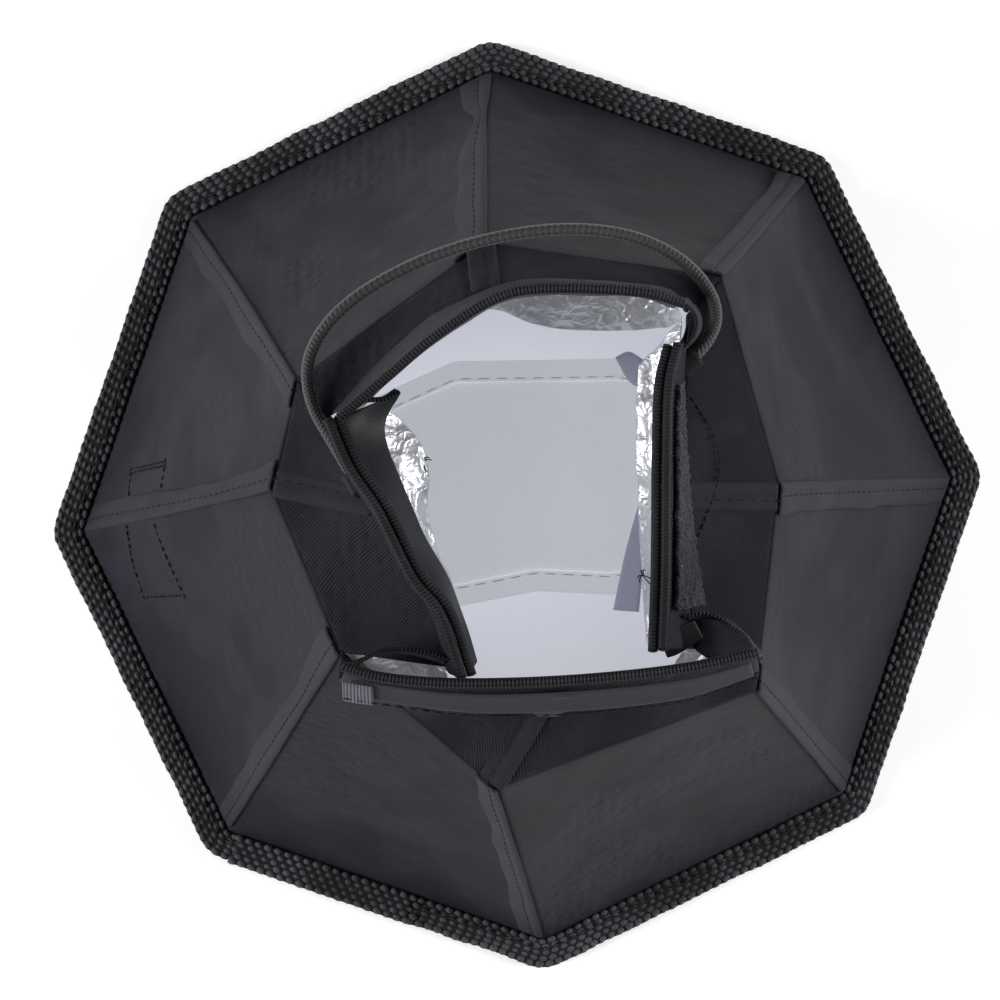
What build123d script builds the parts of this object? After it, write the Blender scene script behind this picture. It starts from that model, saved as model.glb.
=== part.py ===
"""Small foldable octagonal softbox for a hand-held flash, in millimetres, +Z up.

It lies on its front rim. The origin is the centre of the rim's front face, and the
neck that takes the flash head points up. Each soft layer is a thin closed solid.
"""

import os
from math import atan, cos, degrees, pi, radians, sin, sqrt, tan

from build123d import *

# Rim: a webbing tape folded round the edge of the front cloth and the walls
SIDES = 8
RIM_RADIUS = 100.0  # circumradius of the rim, corners left sharp
RIM_SLACK = 0.2
RIM_TAPE = 0.8
RIM_FOLD_WIDTH = 6.2  # how far the tape reaches in from the edge
RIM_CORNER_RADIUS = 4.0

# Front cloth and the stiffening battens that lie on it inside the rim tape
FRONT_CLOTH = 0.4
FRONT_CLOTH_GAP = 0.3
BATTEN_WIDTH = 3.6
BATTEN_THICKNESS = 1.0
RIM_HEIGHT = 2 * RIM_TAPE + FRONT_CLOTH + BATTEN_THICKNESS + RIM_SLACK
BATTEN_GAP = 0.3
BATTEN_END_GAP = 2.5

# Walls: flat panels from the rim up to the kink, higher at the four neck corners
WALL_TOP_RADIUS = 54.0  # circumradius of the outer face at the kink
KINK_Z = 84.0
CORNER_RISE = 6.0
COVER = 0.5
FOAM = 1.2
LINING = 0.3
WALL_RIM_GAP = 0.2
WALL_FOOT_GAP = 0.1
SEAM_GAP = 0.1

# Seam allowances, folded flat on the outside of every seam
FIN_WIDTH = 5.5
FIN_THICKNESS = 1.0
FIN_FOOT_LIFT = 4.0

# Neck: four shoulders inside the top of the walls, with a flap standing on each
NECK_GAP = 0.3
SHOULDER_THICKNESS = 1.2
SHOULDER_FIN_INSET = 1.5
SHOULDER_CORNER_GAP = 1.2
FLAP_HINGE_GAP = 0.6
FLAP_COVER = 0.6
FLAP_FACING = 0.5
BINDING_HEIGHT = 2.4
BINDING_OUTSIDE = 1.0
BINDING_INSIDE = 0.9

# Each flap by the side it stands on: the side's direction from the centre, how far its
# foot is in from the line between the corners, how far it leans out, the half widths of
# its foot and its free edge, and its height
FLAPS = {
    "right": {"turn": 0.0, "inset": 4.1, "lean": -8.0, "foot": 25.0, "edge": 26.0, "height": 15.0},
    "top": {"turn": 90.0, "inset": 0.0, "lean": 8.0, "foot": 31.5, "edge": 32.5, "height": 15.0},
    "left": {"turn": 180.0, "inset": 11.0, "lean": 20.0, "foot": 25.0, "edge": 26.0, "height": 13.0},
    "bottom": {"turn": 270.0, "inset": 0.0, "lean": -18.0, "foot": 33.0, "edge": 36.0, "height": 15.0},
}

# Trim on the flaps: loop fastener outside the right flap, hem tape outside the bottom one
TRIM_THICKNESS = 0.7
LOOP_STRIP_WIDTH = 8.0
LOOP_STRIP_LENGTH = 44.0
HEM_TAPE_WIDTH = 4.0
HEM_TAPE_END_GAP = 1.0
HEM_PATCH_LENGTH = 6.0

# Elastic tapes that bridge the slits between the flaps
ELASTIC_THICKNESS = 0.8
ELASTIC_WIDTH = 6.0
ELASTIC_END_GAP = 3.3
ELASTIC_Z = 95.0

# Elastic cord round the neck's back, and the two stitched tabs that hold its ends
CORD_DIAMETER = 2.3
CORD_BEND = 0.45  # share of the shorter run that each bend takes
CORD_ROUTE = [
    (-29.6, 6.2, 93.5),
    (-33.4, 13.6, 92.9),
    (-37.4, 21.4, 92.8),
    (-37.4, 30.2, 93.8),
    (-30.6, 38.8, 93.8),
    (-17.6, 45.8, 92.2),
    (-3.4, 49.9, 90.6),
    (11.0, 51.3, 89.8),
    (24.4, 49.4, 89.4),
    (34.4, 43.6, 90.0),
    (39.6, 35.8, 91.0),
    (38.6, 28.8, 91.9),
    (33.4, 24.4, 92.4),
]
TAB_LENGTH = 5.0
TAB_WIDTH = 4.0
TAB_HEIGHT = 3.4

# Inner diffuser: a hemmed strip hung across the light path
INNER_CLOTH = 0.4
INNER_WIDTH = 47.0
INNER_LEFT_WIDTH = 30.0
INNER_RIGHT_WIDTH = 34.0
INNER_PROFILE = [
    (-70.0, 41.5),
    (-58.0, 35.0),
    (-32.0, 31.5),
    (0.0, 30.5),
    (20.0, 33.0),
    (33.0, 46.0),
    (45.0, 76.0),
]
INNER_NARROWS_X = -52.0
INNER_RIGHT_NARROWS_X = 30.0
INNER_END_MARGIN = 1.0
HEM_WIDTH = 4.2
HEM_THICKNESS = 0.5
HEM_LIFT = 0.1
HEM_START_X = -50.0
HEM_END_X = 18.0

# Sizes worked out from the ones above
HALF_SIDE = pi / SIDES
RIM_APOTHEM = RIM_RADIUS * cos(HALF_SIDE)
RIM_MOUTH_APOTHEM = RIM_APOTHEM - RIM_FOLD_WIDTH
CAVITY_APOTHEM = RIM_APOTHEM - RIM_TAPE
CAVITY_TOP = RIM_HEIGHT - RIM_TAPE
FRONT_CLOTH_TOP = RIM_TAPE + FRONT_CLOTH
WALL_FOOT_Z = FRONT_CLOTH_TOP + WALL_FOOT_GAP
WALL_THICKNESS = COVER + FOAM + LINING
WALL_TOP_APOTHEM = WALL_TOP_RADIUS * cos(HALF_SIDE)
WALL_TAPER = (RIM_MOUTH_APOTHEM - WALL_RIM_GAP - WALL_TOP_APOTHEM) / (KINK_Z - CAVITY_TOP)
WALL_LEAN = atan(WALL_TAPER)
WALL_FOOT_APOTHEM = WALL_TOP_APOTHEM + (KINK_Z - WALL_FOOT_Z) * WALL_TAPER
CORNER_Z = KINK_Z + CORNER_RISE


def wall_radius(z, depth=0.0):
    """Circumradius of the walls at height z, a depth below their outer face."""
    apothem = WALL_TOP_APOTHEM - (z - KINK_Z) * WALL_TAPER - depth / cos(WALL_LEAN)
    return apothem / cos(HALF_SIDE)


NECK_KINK_RADIUS = wall_radius(KINK_Z, WALL_THICKNESS) - NECK_GAP
NECK_CORNER_RADIUS = wall_radius(CORNER_Z, WALL_THICKNESS) - NECK_GAP
SHOULDER_CHORD = NECK_CORNER_RADIUS * sqrt(0.5)  # from the axis to the line between two corners
SHOULDER_RUN = NECK_KINK_RADIUS - SHOULDER_CHORD
SHOULDER_PITCH = atan(CORNER_RISE / SHOULDER_RUN)


def octagon(apothem):
    """Octagon with corners on the X and Y axes, into the open sketch."""
    return RegularPolygon(apothem / cos(HALF_SIDE), SIDES)


def save(part, name):
    """Label a finished solid and write it as its own STEP file."""
    part.label = name
    export_step(part, f"parts/{name}.step")


def make_rim_binding():
    """Webbing tape with a C section that opens inwards."""
    with BuildPart() as rim_binding:
        with BuildSketch(Plane.XY) as outline:
            octagon(RIM_APOTHEM)
            fillet(outline.vertices(), RIM_CORNER_RADIUS)
        extrude(amount=RIM_HEIGHT)
        with BuildSketch(Plane.XY.offset(RIM_TAPE)) as cavity:
            octagon(CAVITY_APOTHEM)
            fillet(cavity.vertices(), RIM_CORNER_RADIUS - RIM_TAPE)
        extrude(amount=CAVITY_TOP - RIM_TAPE, mode=Mode.SUBTRACT)
        with BuildSketch(Plane.XY):
            octagon(RIM_MOUTH_APOTHEM)
        extrude(amount=RIM_HEIGHT, mode=Mode.SUBTRACT)
    save(rim_binding.part, "rim_binding")


def make_rim_battens():
    """One flat batten along each side of the rim, between the cloth and the tape."""
    outer = CAVITY_APOTHEM - BATTEN_GAP
    inner = outer - BATTEN_WIDTH
    length = 2 * (inner * tan(HALF_SIDE) - BATTEN_END_GAP)
    with BuildPart() as rim_battens:
        with BuildSketch(Plane.XY.offset(FRONT_CLOTH_TOP)):
            with PolarLocations((outer + inner) / 2, SIDES, start_angle=degrees(HALF_SIDE)):
                Rectangle(BATTEN_WIDTH, length)
        extrude(amount=BATTEN_THICKNESS)
    save(rim_battens.part, "rim_battens")


def make_front_diffuser():
    """Flat octagon of front cloth, held in the rim tape."""
    with BuildPart() as front_diffuser:
        with BuildSketch(Plane.XY.offset(RIM_TAPE)) as outline:
            octagon(CAVITY_APOTHEM - FRONT_CLOTH_GAP)
            fillet(outline.vertices(), RIM_CORNER_RADIUS - RIM_TAPE)
        extrude(amount=FRONT_CLOTH)
    save(front_diffuser.part, "front_diffuser")


def wall_plane(side, depth):
    """Plane of a wall: X along the rim, Y up the slope, a depth below the outer face."""
    turn = (2 * side + 1) * HALF_SIDE
    normal = Vector(cos(turn) * cos(WALL_LEAN), sin(turn) * cos(WALL_LEAN), sin(WALL_LEAN))
    foot = Vector(WALL_FOOT_APOTHEM * cos(turn), WALL_FOOT_APOTHEM * sin(turn), WALL_FOOT_Z)
    return Plane(origin=foot - normal * depth, x_dir=(-sin(turn), cos(turn), 0), z_dir=normal)


def half_width(slope, depth):
    """Half the width of a wall at a distance up its slope, a depth below its outer face."""
    apothem = WALL_FOOT_APOTHEM - slope * sin(WALL_LEAN) - depth * cos(WALL_LEAN)
    return apothem * tan(HALF_SIDE)


def slope_at(z):
    """Distance up the slope of the outer face at height z."""
    return (z - WALL_FOOT_Z) / cos(WALL_LEAN)


def seam_top(seam):
    """Height where a seam's walls end: the kink, or a neck corner on every second seam."""
    return KINK_Z if seam % 2 == 0 else CORNER_Z


def wall_outline(side, depth):
    """Four corners of a wall layer whose inner face is at this depth."""
    foot = depth * tan(WALL_LEAN)
    first = slope_at(seam_top(side))
    second = slope_at(seam_top(side + 1))
    foot_half = half_width(foot, depth) - SEAM_GAP
    return [
        (-foot_half, foot),
        (foot_half, foot),
        (half_width(second, depth) - SEAM_GAP, second),
        (-half_width(first, depth) + SEAM_GAP, first),
    ]


def make_wall_layer(side, top_depth, thickness, name):
    """One flat layer of one wall."""
    depth = top_depth + thickness
    with BuildPart() as layer:
        with BuildSketch(wall_plane(side, depth)):
            Polygon(*wall_outline(side, depth), align=None)
        extrude(amount=thickness)
    save(layer.part, f"{name}_{side + 1}")


def make_wall_foam():
    """The eight foam panels between the covers and the lining, as one group."""
    depth = COVER + FOAM
    with BuildPart() as foam:
        for side in range(SIDES):
            with BuildSketch(wall_plane(side, depth)):
                Polygon(*wall_outline(side, depth), align=None)
            extrude(amount=FOAM)
    save(foam.part, "wall_foam")


def make_seam_fin(side):
    """Seam allowance folded onto this wall, along the seam at its start."""
    foot = slope_at(RIM_HEIGHT + FIN_FOOT_LIFT)
    top = slope_at(seam_top(side)) - FIN_THICKNESS
    with BuildPart() as fin:
        with BuildSketch(wall_plane(side, 0)):
            Polygon(
                (-half_width(foot, 0), foot),
                (-half_width(foot, 0) + FIN_WIDTH, foot),
                (-half_width(top, 0) + FIN_WIDTH, top),
                (-half_width(top, 0), top),
                align=None,
            )
        extrude(amount=FIN_THICKNESS)
    save(fin.part, f"seam_fin_{side + 1}")


def around(turn, outward, sideways, z):
    """Point given by its distance outwards and sideways on the side that faces turn."""
    angle = radians(turn)
    return Vector(
        outward * cos(angle) - sideways * sin(angle),
        outward * sin(angle) + sideways * cos(angle),
        z,
    )


def shoulder_plane(turn):
    """Top face of a shoulder: X along the side, Y inwards and up, origin at the kink."""
    sideways = around(turn, 0, 1, 0)
    normal = around(turn, sin(SHOULDER_PITCH), 0, cos(SHOULDER_PITCH))
    return Plane(origin=around(turn, NECK_KINK_RADIUS, 0, KINK_Z), x_dir=sideways, z_dir=normal)


def shoulder_depth(inset):
    """Distance up a shoulder from the kink to its throat edge."""
    return (SHOULDER_RUN + inset) / cos(SHOULDER_PITCH)


def make_shoulder(side, flap):
    """Flat shoulder from the kink up to the foot of its flap, with its seam allowance."""
    chord = shoulder_depth(0)
    throat = shoulder_depth(flap["inset"])
    corner = SHOULDER_CHORD - SHOULDER_CORNER_GAP
    points = [(0, 0), (corner, chord), (-corner, chord)]
    if flap["inset"] > 0:
        points = points[:2] + [(flap["foot"], throat), (-flap["foot"], throat)] + points[2:]
    plane = shoulder_plane(flap["turn"])
    with BuildPart() as shoulder:
        with BuildSketch(plane):
            Polygon(*points, align=None)
        extrude(amount=-SHOULDER_THICKNESS)
    save(shoulder.part, f"shoulder_{side}")
    fin_half = FIN_WIDTH / 2
    slant = fin_half * chord / SHOULDER_CHORD
    fin_top = chord - SHOULDER_FIN_INSET
    with BuildPart() as fin:
        with BuildSketch(plane):
            Polygon(
                (-fin_half, slant + SHOULDER_FIN_INSET),
                (0, SHOULDER_FIN_INSET),
                (fin_half, slant + SHOULDER_FIN_INSET),
                (fin_half, fin_top),
                (-fin_half, fin_top),
                align=None,
            )
        extrude(amount=FIN_THICKNESS)
    save(fin.part, f"shoulder_fin_{side}")


def hinge_point(flap):
    """Middle of a flap's foot, on the throat edge of its shoulder."""
    outward = SHOULDER_CHORD - flap["inset"]
    return around(flap["turn"], outward, 0, CORNER_Z + flap["inset"] * tan(SHOULDER_PITCH))


def flap_plane(flap):
    """Plane between a flap's cover and facing: X sideways, Y up the flap, normal outwards."""
    lean = radians(flap["lean"])
    normal = around(flap["turn"], cos(lean), 0, -sin(lean))
    sideways = around(flap["turn"], 0, 1, 0)
    return Plane(origin=hinge_point(flap), x_dir=sideways, z_dir=normal)


def flap_half(flap, height):
    """Half width of a flap at a height above its foot."""
    return flap["foot"] + (flap["edge"] - flap["foot"]) * height / flap["height"]


def flap_band(flap, low, high, inset=0.0):
    """Four corners of the part of a flap between two heights."""
    low_half = flap_half(flap, low) - inset
    high_half = flap_half(flap, high) - inset
    return [(-low_half, low), (low_half, low), (high_half, high), (-high_half, high)]


def make_flap(side, flap):
    """Cover, facing and edge binding of one flap."""
    plane = flap_plane(flap)
    seam = flap["height"] - BINDING_HEIGHT
    with BuildPart() as cover:
        with BuildSketch(plane):
            Polygon(*flap_band(flap, FLAP_HINGE_GAP, seam), align=None)
        extrude(amount=FLAP_COVER)
    save(cover.part, f"flap_cover_{side}")
    with BuildPart() as facing:
        with BuildSketch(plane):
            Polygon(*flap_band(flap, FLAP_HINGE_GAP, seam), align=None)
        extrude(amount=-FLAP_FACING)
    save(facing.part, f"flap_facing_{side}")
    with BuildPart() as binding:
        with BuildSketch(plane.offset(-BINDING_INSIDE)):
            Polygon(*flap_band(flap, seam, flap["height"]), align=None)
        extrude(amount=BINDING_INSIDE + BINDING_OUTSIDE)
    save(binding.part, f"flap_binding_{side}")


def make_loop_strip(flap):
    """Loop fastener strip on the outside of the right flap."""
    middle = (FLAP_HINGE_GAP + flap["height"] - BINDING_HEIGHT) / 2
    with BuildPart() as loop_strip:
        with BuildSketch(flap_plane(flap).offset(FLAP_COVER)):
            with Locations((0, middle)):
                Rectangle(LOOP_STRIP_LENGTH, LOOP_STRIP_WIDTH)
        extrude(amount=TRIM_THICKNESS)
    save(loop_strip.part, "loop_strip")


def make_hem_tape(flap):
    """Hem tape along the outside of the bottom flap, with a folded patch at its end."""
    top = flap["height"] - BINDING_HEIGHT - HEM_TAPE_END_GAP
    low = top - HEM_TAPE_WIDTH
    plane = flap_plane(flap).offset(FLAP_COVER)
    with BuildPart() as hem_tape:
        with BuildSketch(plane):
            Polygon(*flap_band(flap, low, top, HEM_TAPE_END_GAP), align=None)
        extrude(amount=TRIM_THICKNESS)
    save(hem_tape.part, "hem_tape")
    patch_end = flap_half(flap, low) - HEM_TAPE_END_GAP
    with BuildPart() as hem_patch:
        with BuildSketch(plane.offset(TRIM_THICKNESS)):
            with Locations((-patch_end + HEM_PATCH_LENGTH / 2, (low + top) / 2)):
                Rectangle(HEM_PATCH_LENGTH, HEM_TAPE_WIDTH)
        extrude(amount=TRIM_THICKNESS)
    save(hem_patch.part, "hem_patch")


def flap_end(flap, end):
    """Point at one end of a flap, level with the elastic tapes."""
    plane = flap_plane(flap)
    height = (ELASTIC_Z + ELASTIC_WIDTH / 2 - plane.origin.Z) / cos(radians(flap["lean"]))
    return plane.from_local_coords(Vector(end * flap_half(flap, height), height, 0))


def make_corner_elastic(number, flap, next_flap):
    """Elastic tape across the slit between two flaps."""
    start = flap_end(flap, 1)
    stop = flap_end(next_flap, -1)
    along = Vector(stop.X - start.X, stop.Y - start.Y, 0)
    middle = Vector((start.X + stop.X) / 2, (start.Y + stop.Y) / 2, ELASTIC_Z)
    with BuildPart() as elastic:
        with BuildSketch(Plane(origin=middle, x_dir=along, z_dir=(0, 0, 1))):
            Rectangle(along.length - 2 * ELASTIC_END_GAP, ELASTIC_THICKNESS)
        extrude(amount=ELASTIC_WIDTH)
    save(elastic.part, f"corner_elastic_{number}")


def cord_radii(points):
    """Largest bend radius that each inner point of a route allows, within its share."""
    radii = []
    for before, here, after in zip(points, points[1:], points[2:]):
        arriving = Vector(here) - Vector(before)
        leaving = Vector(after) - Vector(here)
        half_turn = radians(arriving.get_angle(leaving)) / 2
        radii.append(CORD_BEND * min(arriving.length, leaving.length) / tan(half_turn))
    return radii


def make_elastic_cord():
    """Elastic cord as a round tube of straight runs and tangent arcs."""
    radii = cord_radii(CORD_ROUTE)
    print("cord radii", [round(radius, 1) for radius in radii])
    with BuildPart() as elastic_cord:
        with BuildLine():
            path = FilletPolyline(*CORD_ROUTE, radius=radii)
        with BuildSketch(Plane(origin=path @ 0, z_dir=path % 0)):
            Circle(CORD_DIAMETER / 2)
        sweep(path=path)
    length = path.length
    expected = length * pi * CORD_DIAMETER**2 / 4
    print("cord length", round(length, 1), "volume ratio", round(elastic_cord.part.volume / expected, 4))
    save(elastic_cord.part, "elastic_cord")


def make_cord_tabs():
    """Stitched tabs on the left and right shoulders that hold the cord's ends."""
    with BuildPart() as cord_tabs:
        for side, point in (("left", CORD_ROUTE[0]), ("right", CORD_ROUTE[-1])):
            plane = shoulder_plane(FLAPS[side]["turn"])
            local = plane.to_local_coords(Vector(point))
            with BuildSketch(plane):
                with Locations((local.X, local.Y)):
                    Rectangle(TAB_LENGTH, TAB_WIDTH)
            extrude(amount=TAB_HEIGHT)
    save(cord_tabs.part, "cord_tabs")


def make_strip(name, lift, thickness, outlines):
    """Strip that follows the inner diffuser's side view, cut to outlines seen from above."""
    with BuildPart() as strip:
        with BuildSketch(Plane.XZ):
            with BuildLine():
                under = Spline(*[(x, z + lift) for x, z in INNER_PROFILE])
                over = Spline(*[(x, z + lift + thickness) for x, z in INNER_PROFILE])
                Line(under @ 0, over @ 0)
                Line(under @ 1, over @ 1)
            make_face()
        extrude(amount=INNER_WIDTH / 2, both=True)
        with BuildSketch(Plane.XY):
            for outline in outlines:
                Polygon(*outline, align=None)
        extrude(amount=CORNER_Z, mode=Mode.INTERSECT)
    save(strip.part, name)


def make_inner_diffuser():
    """Hung strip of cloth, narrowed at both ends where it is sewn to the walls."""
    half = INNER_WIDTH / 2
    left = INNER_PROFILE[0][0]
    right = INNER_PROFILE[-1][0] + INNER_END_MARGIN
    left_half = INNER_LEFT_WIDTH / 2
    corner = left + left_half * tan(HALF_SIDE)
    upper = [(left, 0), (corner, left_half), (INNER_NARROWS_X, half), (INNER_RIGHT_NARROWS_X, half)]
    lower = [(x, -y) for x, y in reversed(upper[1:])]
    right_end = [(right, INNER_RIGHT_WIDTH / 2), (right, -INNER_RIGHT_WIDTH / 2)]
    make_strip("inner_diffuser", 0, INNER_CLOTH, [upper + right_end + lower])


def make_inner_hems():
    """Folded hems on the strip's two long edges, lying on the cloth."""
    edge = INNER_WIDTH / 2
    outlines = []
    for outside, inside in ((edge, edge - HEM_WIDTH), (-edge, HEM_WIDTH - edge)):
        corners = [(HEM_START_X, inside), (HEM_END_X, inside), (HEM_END_X, outside)]
        outlines.append(corners + [(HEM_START_X, outside)])
    make_strip("inner_diffuser_hems", INNER_CLOTH + HEM_LIFT, HEM_THICKNESS, outlines)


def main():
    os.makedirs("parts", exist_ok=True)
    make_rim_binding()
    make_rim_battens()
    make_front_diffuser()
    make_wall_foam()
    for side in range(SIDES):
        make_wall_layer(side, 0, COVER, "wall_cover")
        make_wall_layer(side, COVER + FOAM, LINING, "wall_lining")
        make_seam_fin(side)
    for side, flap in FLAPS.items():
        make_shoulder(side, flap)
        make_flap(side, flap)
    make_loop_strip(FLAPS["right"])
    make_hem_tape(FLAPS["bottom"])
    ordered = list(FLAPS.values())
    for number, flap in enumerate(ordered):
        make_corner_elastic(number + 1, flap, ordered[(number + 1) % len(ordered)])
    make_elastic_cord()
    make_cord_tabs()
    make_inner_diffuser()
    make_inner_hems()


main()
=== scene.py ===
"""Looks of a small folding octagonal softbox: cloth, tapes, cord, linings and studio.

Shapes are worked out in millimetres and written to their meshes in metres, in the same
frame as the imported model: the rim lies on Z = 0 and the neck points up.
"""

import logging
import math
from dataclasses import dataclass, field
from enum import Enum
from typing import Sequence

import bmesh
import bpy
import numpy as np
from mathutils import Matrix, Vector, noise


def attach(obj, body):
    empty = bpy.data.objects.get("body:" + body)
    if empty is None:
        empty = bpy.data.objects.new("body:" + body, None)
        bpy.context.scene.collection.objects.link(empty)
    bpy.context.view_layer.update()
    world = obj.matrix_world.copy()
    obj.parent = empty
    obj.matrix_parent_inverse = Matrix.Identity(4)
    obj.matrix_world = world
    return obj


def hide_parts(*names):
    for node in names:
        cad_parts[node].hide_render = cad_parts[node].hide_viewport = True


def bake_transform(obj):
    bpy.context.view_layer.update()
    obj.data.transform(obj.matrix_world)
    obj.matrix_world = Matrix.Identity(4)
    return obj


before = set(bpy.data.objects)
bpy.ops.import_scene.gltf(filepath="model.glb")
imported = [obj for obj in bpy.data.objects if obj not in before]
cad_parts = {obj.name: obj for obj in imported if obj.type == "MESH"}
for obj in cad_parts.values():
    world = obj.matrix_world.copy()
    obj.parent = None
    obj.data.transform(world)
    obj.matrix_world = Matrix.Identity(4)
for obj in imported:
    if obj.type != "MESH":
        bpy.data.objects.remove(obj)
LOG = logging.getLogger("softbox")
MM = 0.001
SIDES = 8
Point = tuple[float, float, float]
Line = Sequence[Point]
Colour = tuple[float, float, float]
Inputs = dict[str | int, object]
UP = np.array((0.0, 0.0, 1.0))
ORIGIN: Point = (0.0, 0.0, 0.0)
COLLAR_MIDDLE: Point = (0.0, 0.0, 97.0)
WALL_RISE = 0.44
RIM_LEVEL = 1.6
LAP_LEVEL = 1.75


# ---------------------------------------------------------------- shapes


def ripple(point: np.ndarray, scale: float, seed: float) -> float:
    """Smooth noise at a point, about -1 to 1, with features of the given size in mm."""
    return noise.noise(Vector((point[0] / scale + seed, point[1] / scale, point[2] / scale - seed)))


def unit(vector: np.ndarray) -> np.ndarray:
    """The vector scaled to length 1."""
    return vector / max(float(np.linalg.norm(vector)), 1e-9)


def along(points: Line, share: float) -> np.ndarray:
    """Point on a smooth line through the given points.

    Args:
        points: Points that the line passes through, in order.
        share: Place on the line, 0 at its start and 1 at its end.

    Returns:
        The point, by a Catmull-Rom curve spaced by the chords.
    """
    pts = np.asarray(points, dtype=float)
    if len(pts) == 2:
        return pts[0] + (pts[1] - pts[0]) * share
    steps = np.linalg.norm(np.diff(pts, axis=0), axis=1)
    ends = np.concatenate([[0.0], np.cumsum(steps)])
    target = min(max(share, 0.0), 1.0) * ends[-1]
    k = int(min(max(np.searchsorted(ends, target, side="right") - 1, 0), len(pts) - 2))
    t = (target - ends[k]) / max(steps[k], 1e-9)
    before = pts[k - 1] if k > 0 else 2 * pts[0] - pts[1]
    after = pts[k + 2] if k + 2 < len(pts) else 2 * pts[-1] - pts[-2]
    a, b = pts[k], pts[k + 1]
    return 0.5 * (
        2 * a
        + (b - before) * t
        + (2 * before - 5 * a + 4 * b - after) * t * t
        + (3 * a - before - 3 * b + after) * t**3
    )


def spread(points: Line, count: int) -> np.ndarray:
    """Evenly spread points on the smooth line through the given ones."""
    return np.array([along(points, i / (count - 1)) for i in range(count)])


def loft(first: np.ndarray, last: np.ndarray, rows: int) -> np.ndarray:
    """Rows of points that go straight from one line to another of as many points."""
    shares = np.linspace(0.0, 1.0, rows)[:, None, None]
    return first[None] * (1 - shares) + last[None] * shares


def normals(rows: np.ndarray) -> np.ndarray:
    """Normal of a grid of points at each of them.

    Args:
        rows: Array of shape (rows, columns, 3).

    Returns:
        Array of unit vectors of the same shape.
    """
    down = np.gradient(rows, axis=0)
    across = np.gradient(rows, axis=1)
    cross = np.cross(across, down)
    length = np.linalg.norm(cross, axis=2, keepdims=True)
    return cross / np.maximum(length, 1e-9)


def wall_normal(side: int) -> np.ndarray:
    """Outward direction of a wall, from its number."""
    turn = (side + 0.5) * 2 * math.pi / SIDES
    return unit(np.array((math.cos(turn), math.sin(turn), WALL_RISE)))


def new_object(name: str, data: bpy.types.ID) -> bpy.types.Object:
    """Object of a mesh, curve, light or camera, linked to the scene.

    Args:
        name: Name of the object.
        data: Its mesh, curve, light or camera.

    Returns:
        The new object.
    """
    obj = bpy.data.objects.new(name, data)
    bpy.context.scene.collection.objects.link(obj)
    return obj


def crumple(rows: np.ndarray, height: float, scale: float, seed: float) -> np.ndarray:
    """The grid with smooth random waves of a height and a scale in mm along its normals."""
    waves = np.apply_along_axis(ripple, 2, rows, scale, seed)[:, :, None]
    return rows + normals(rows) * waves * height


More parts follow.
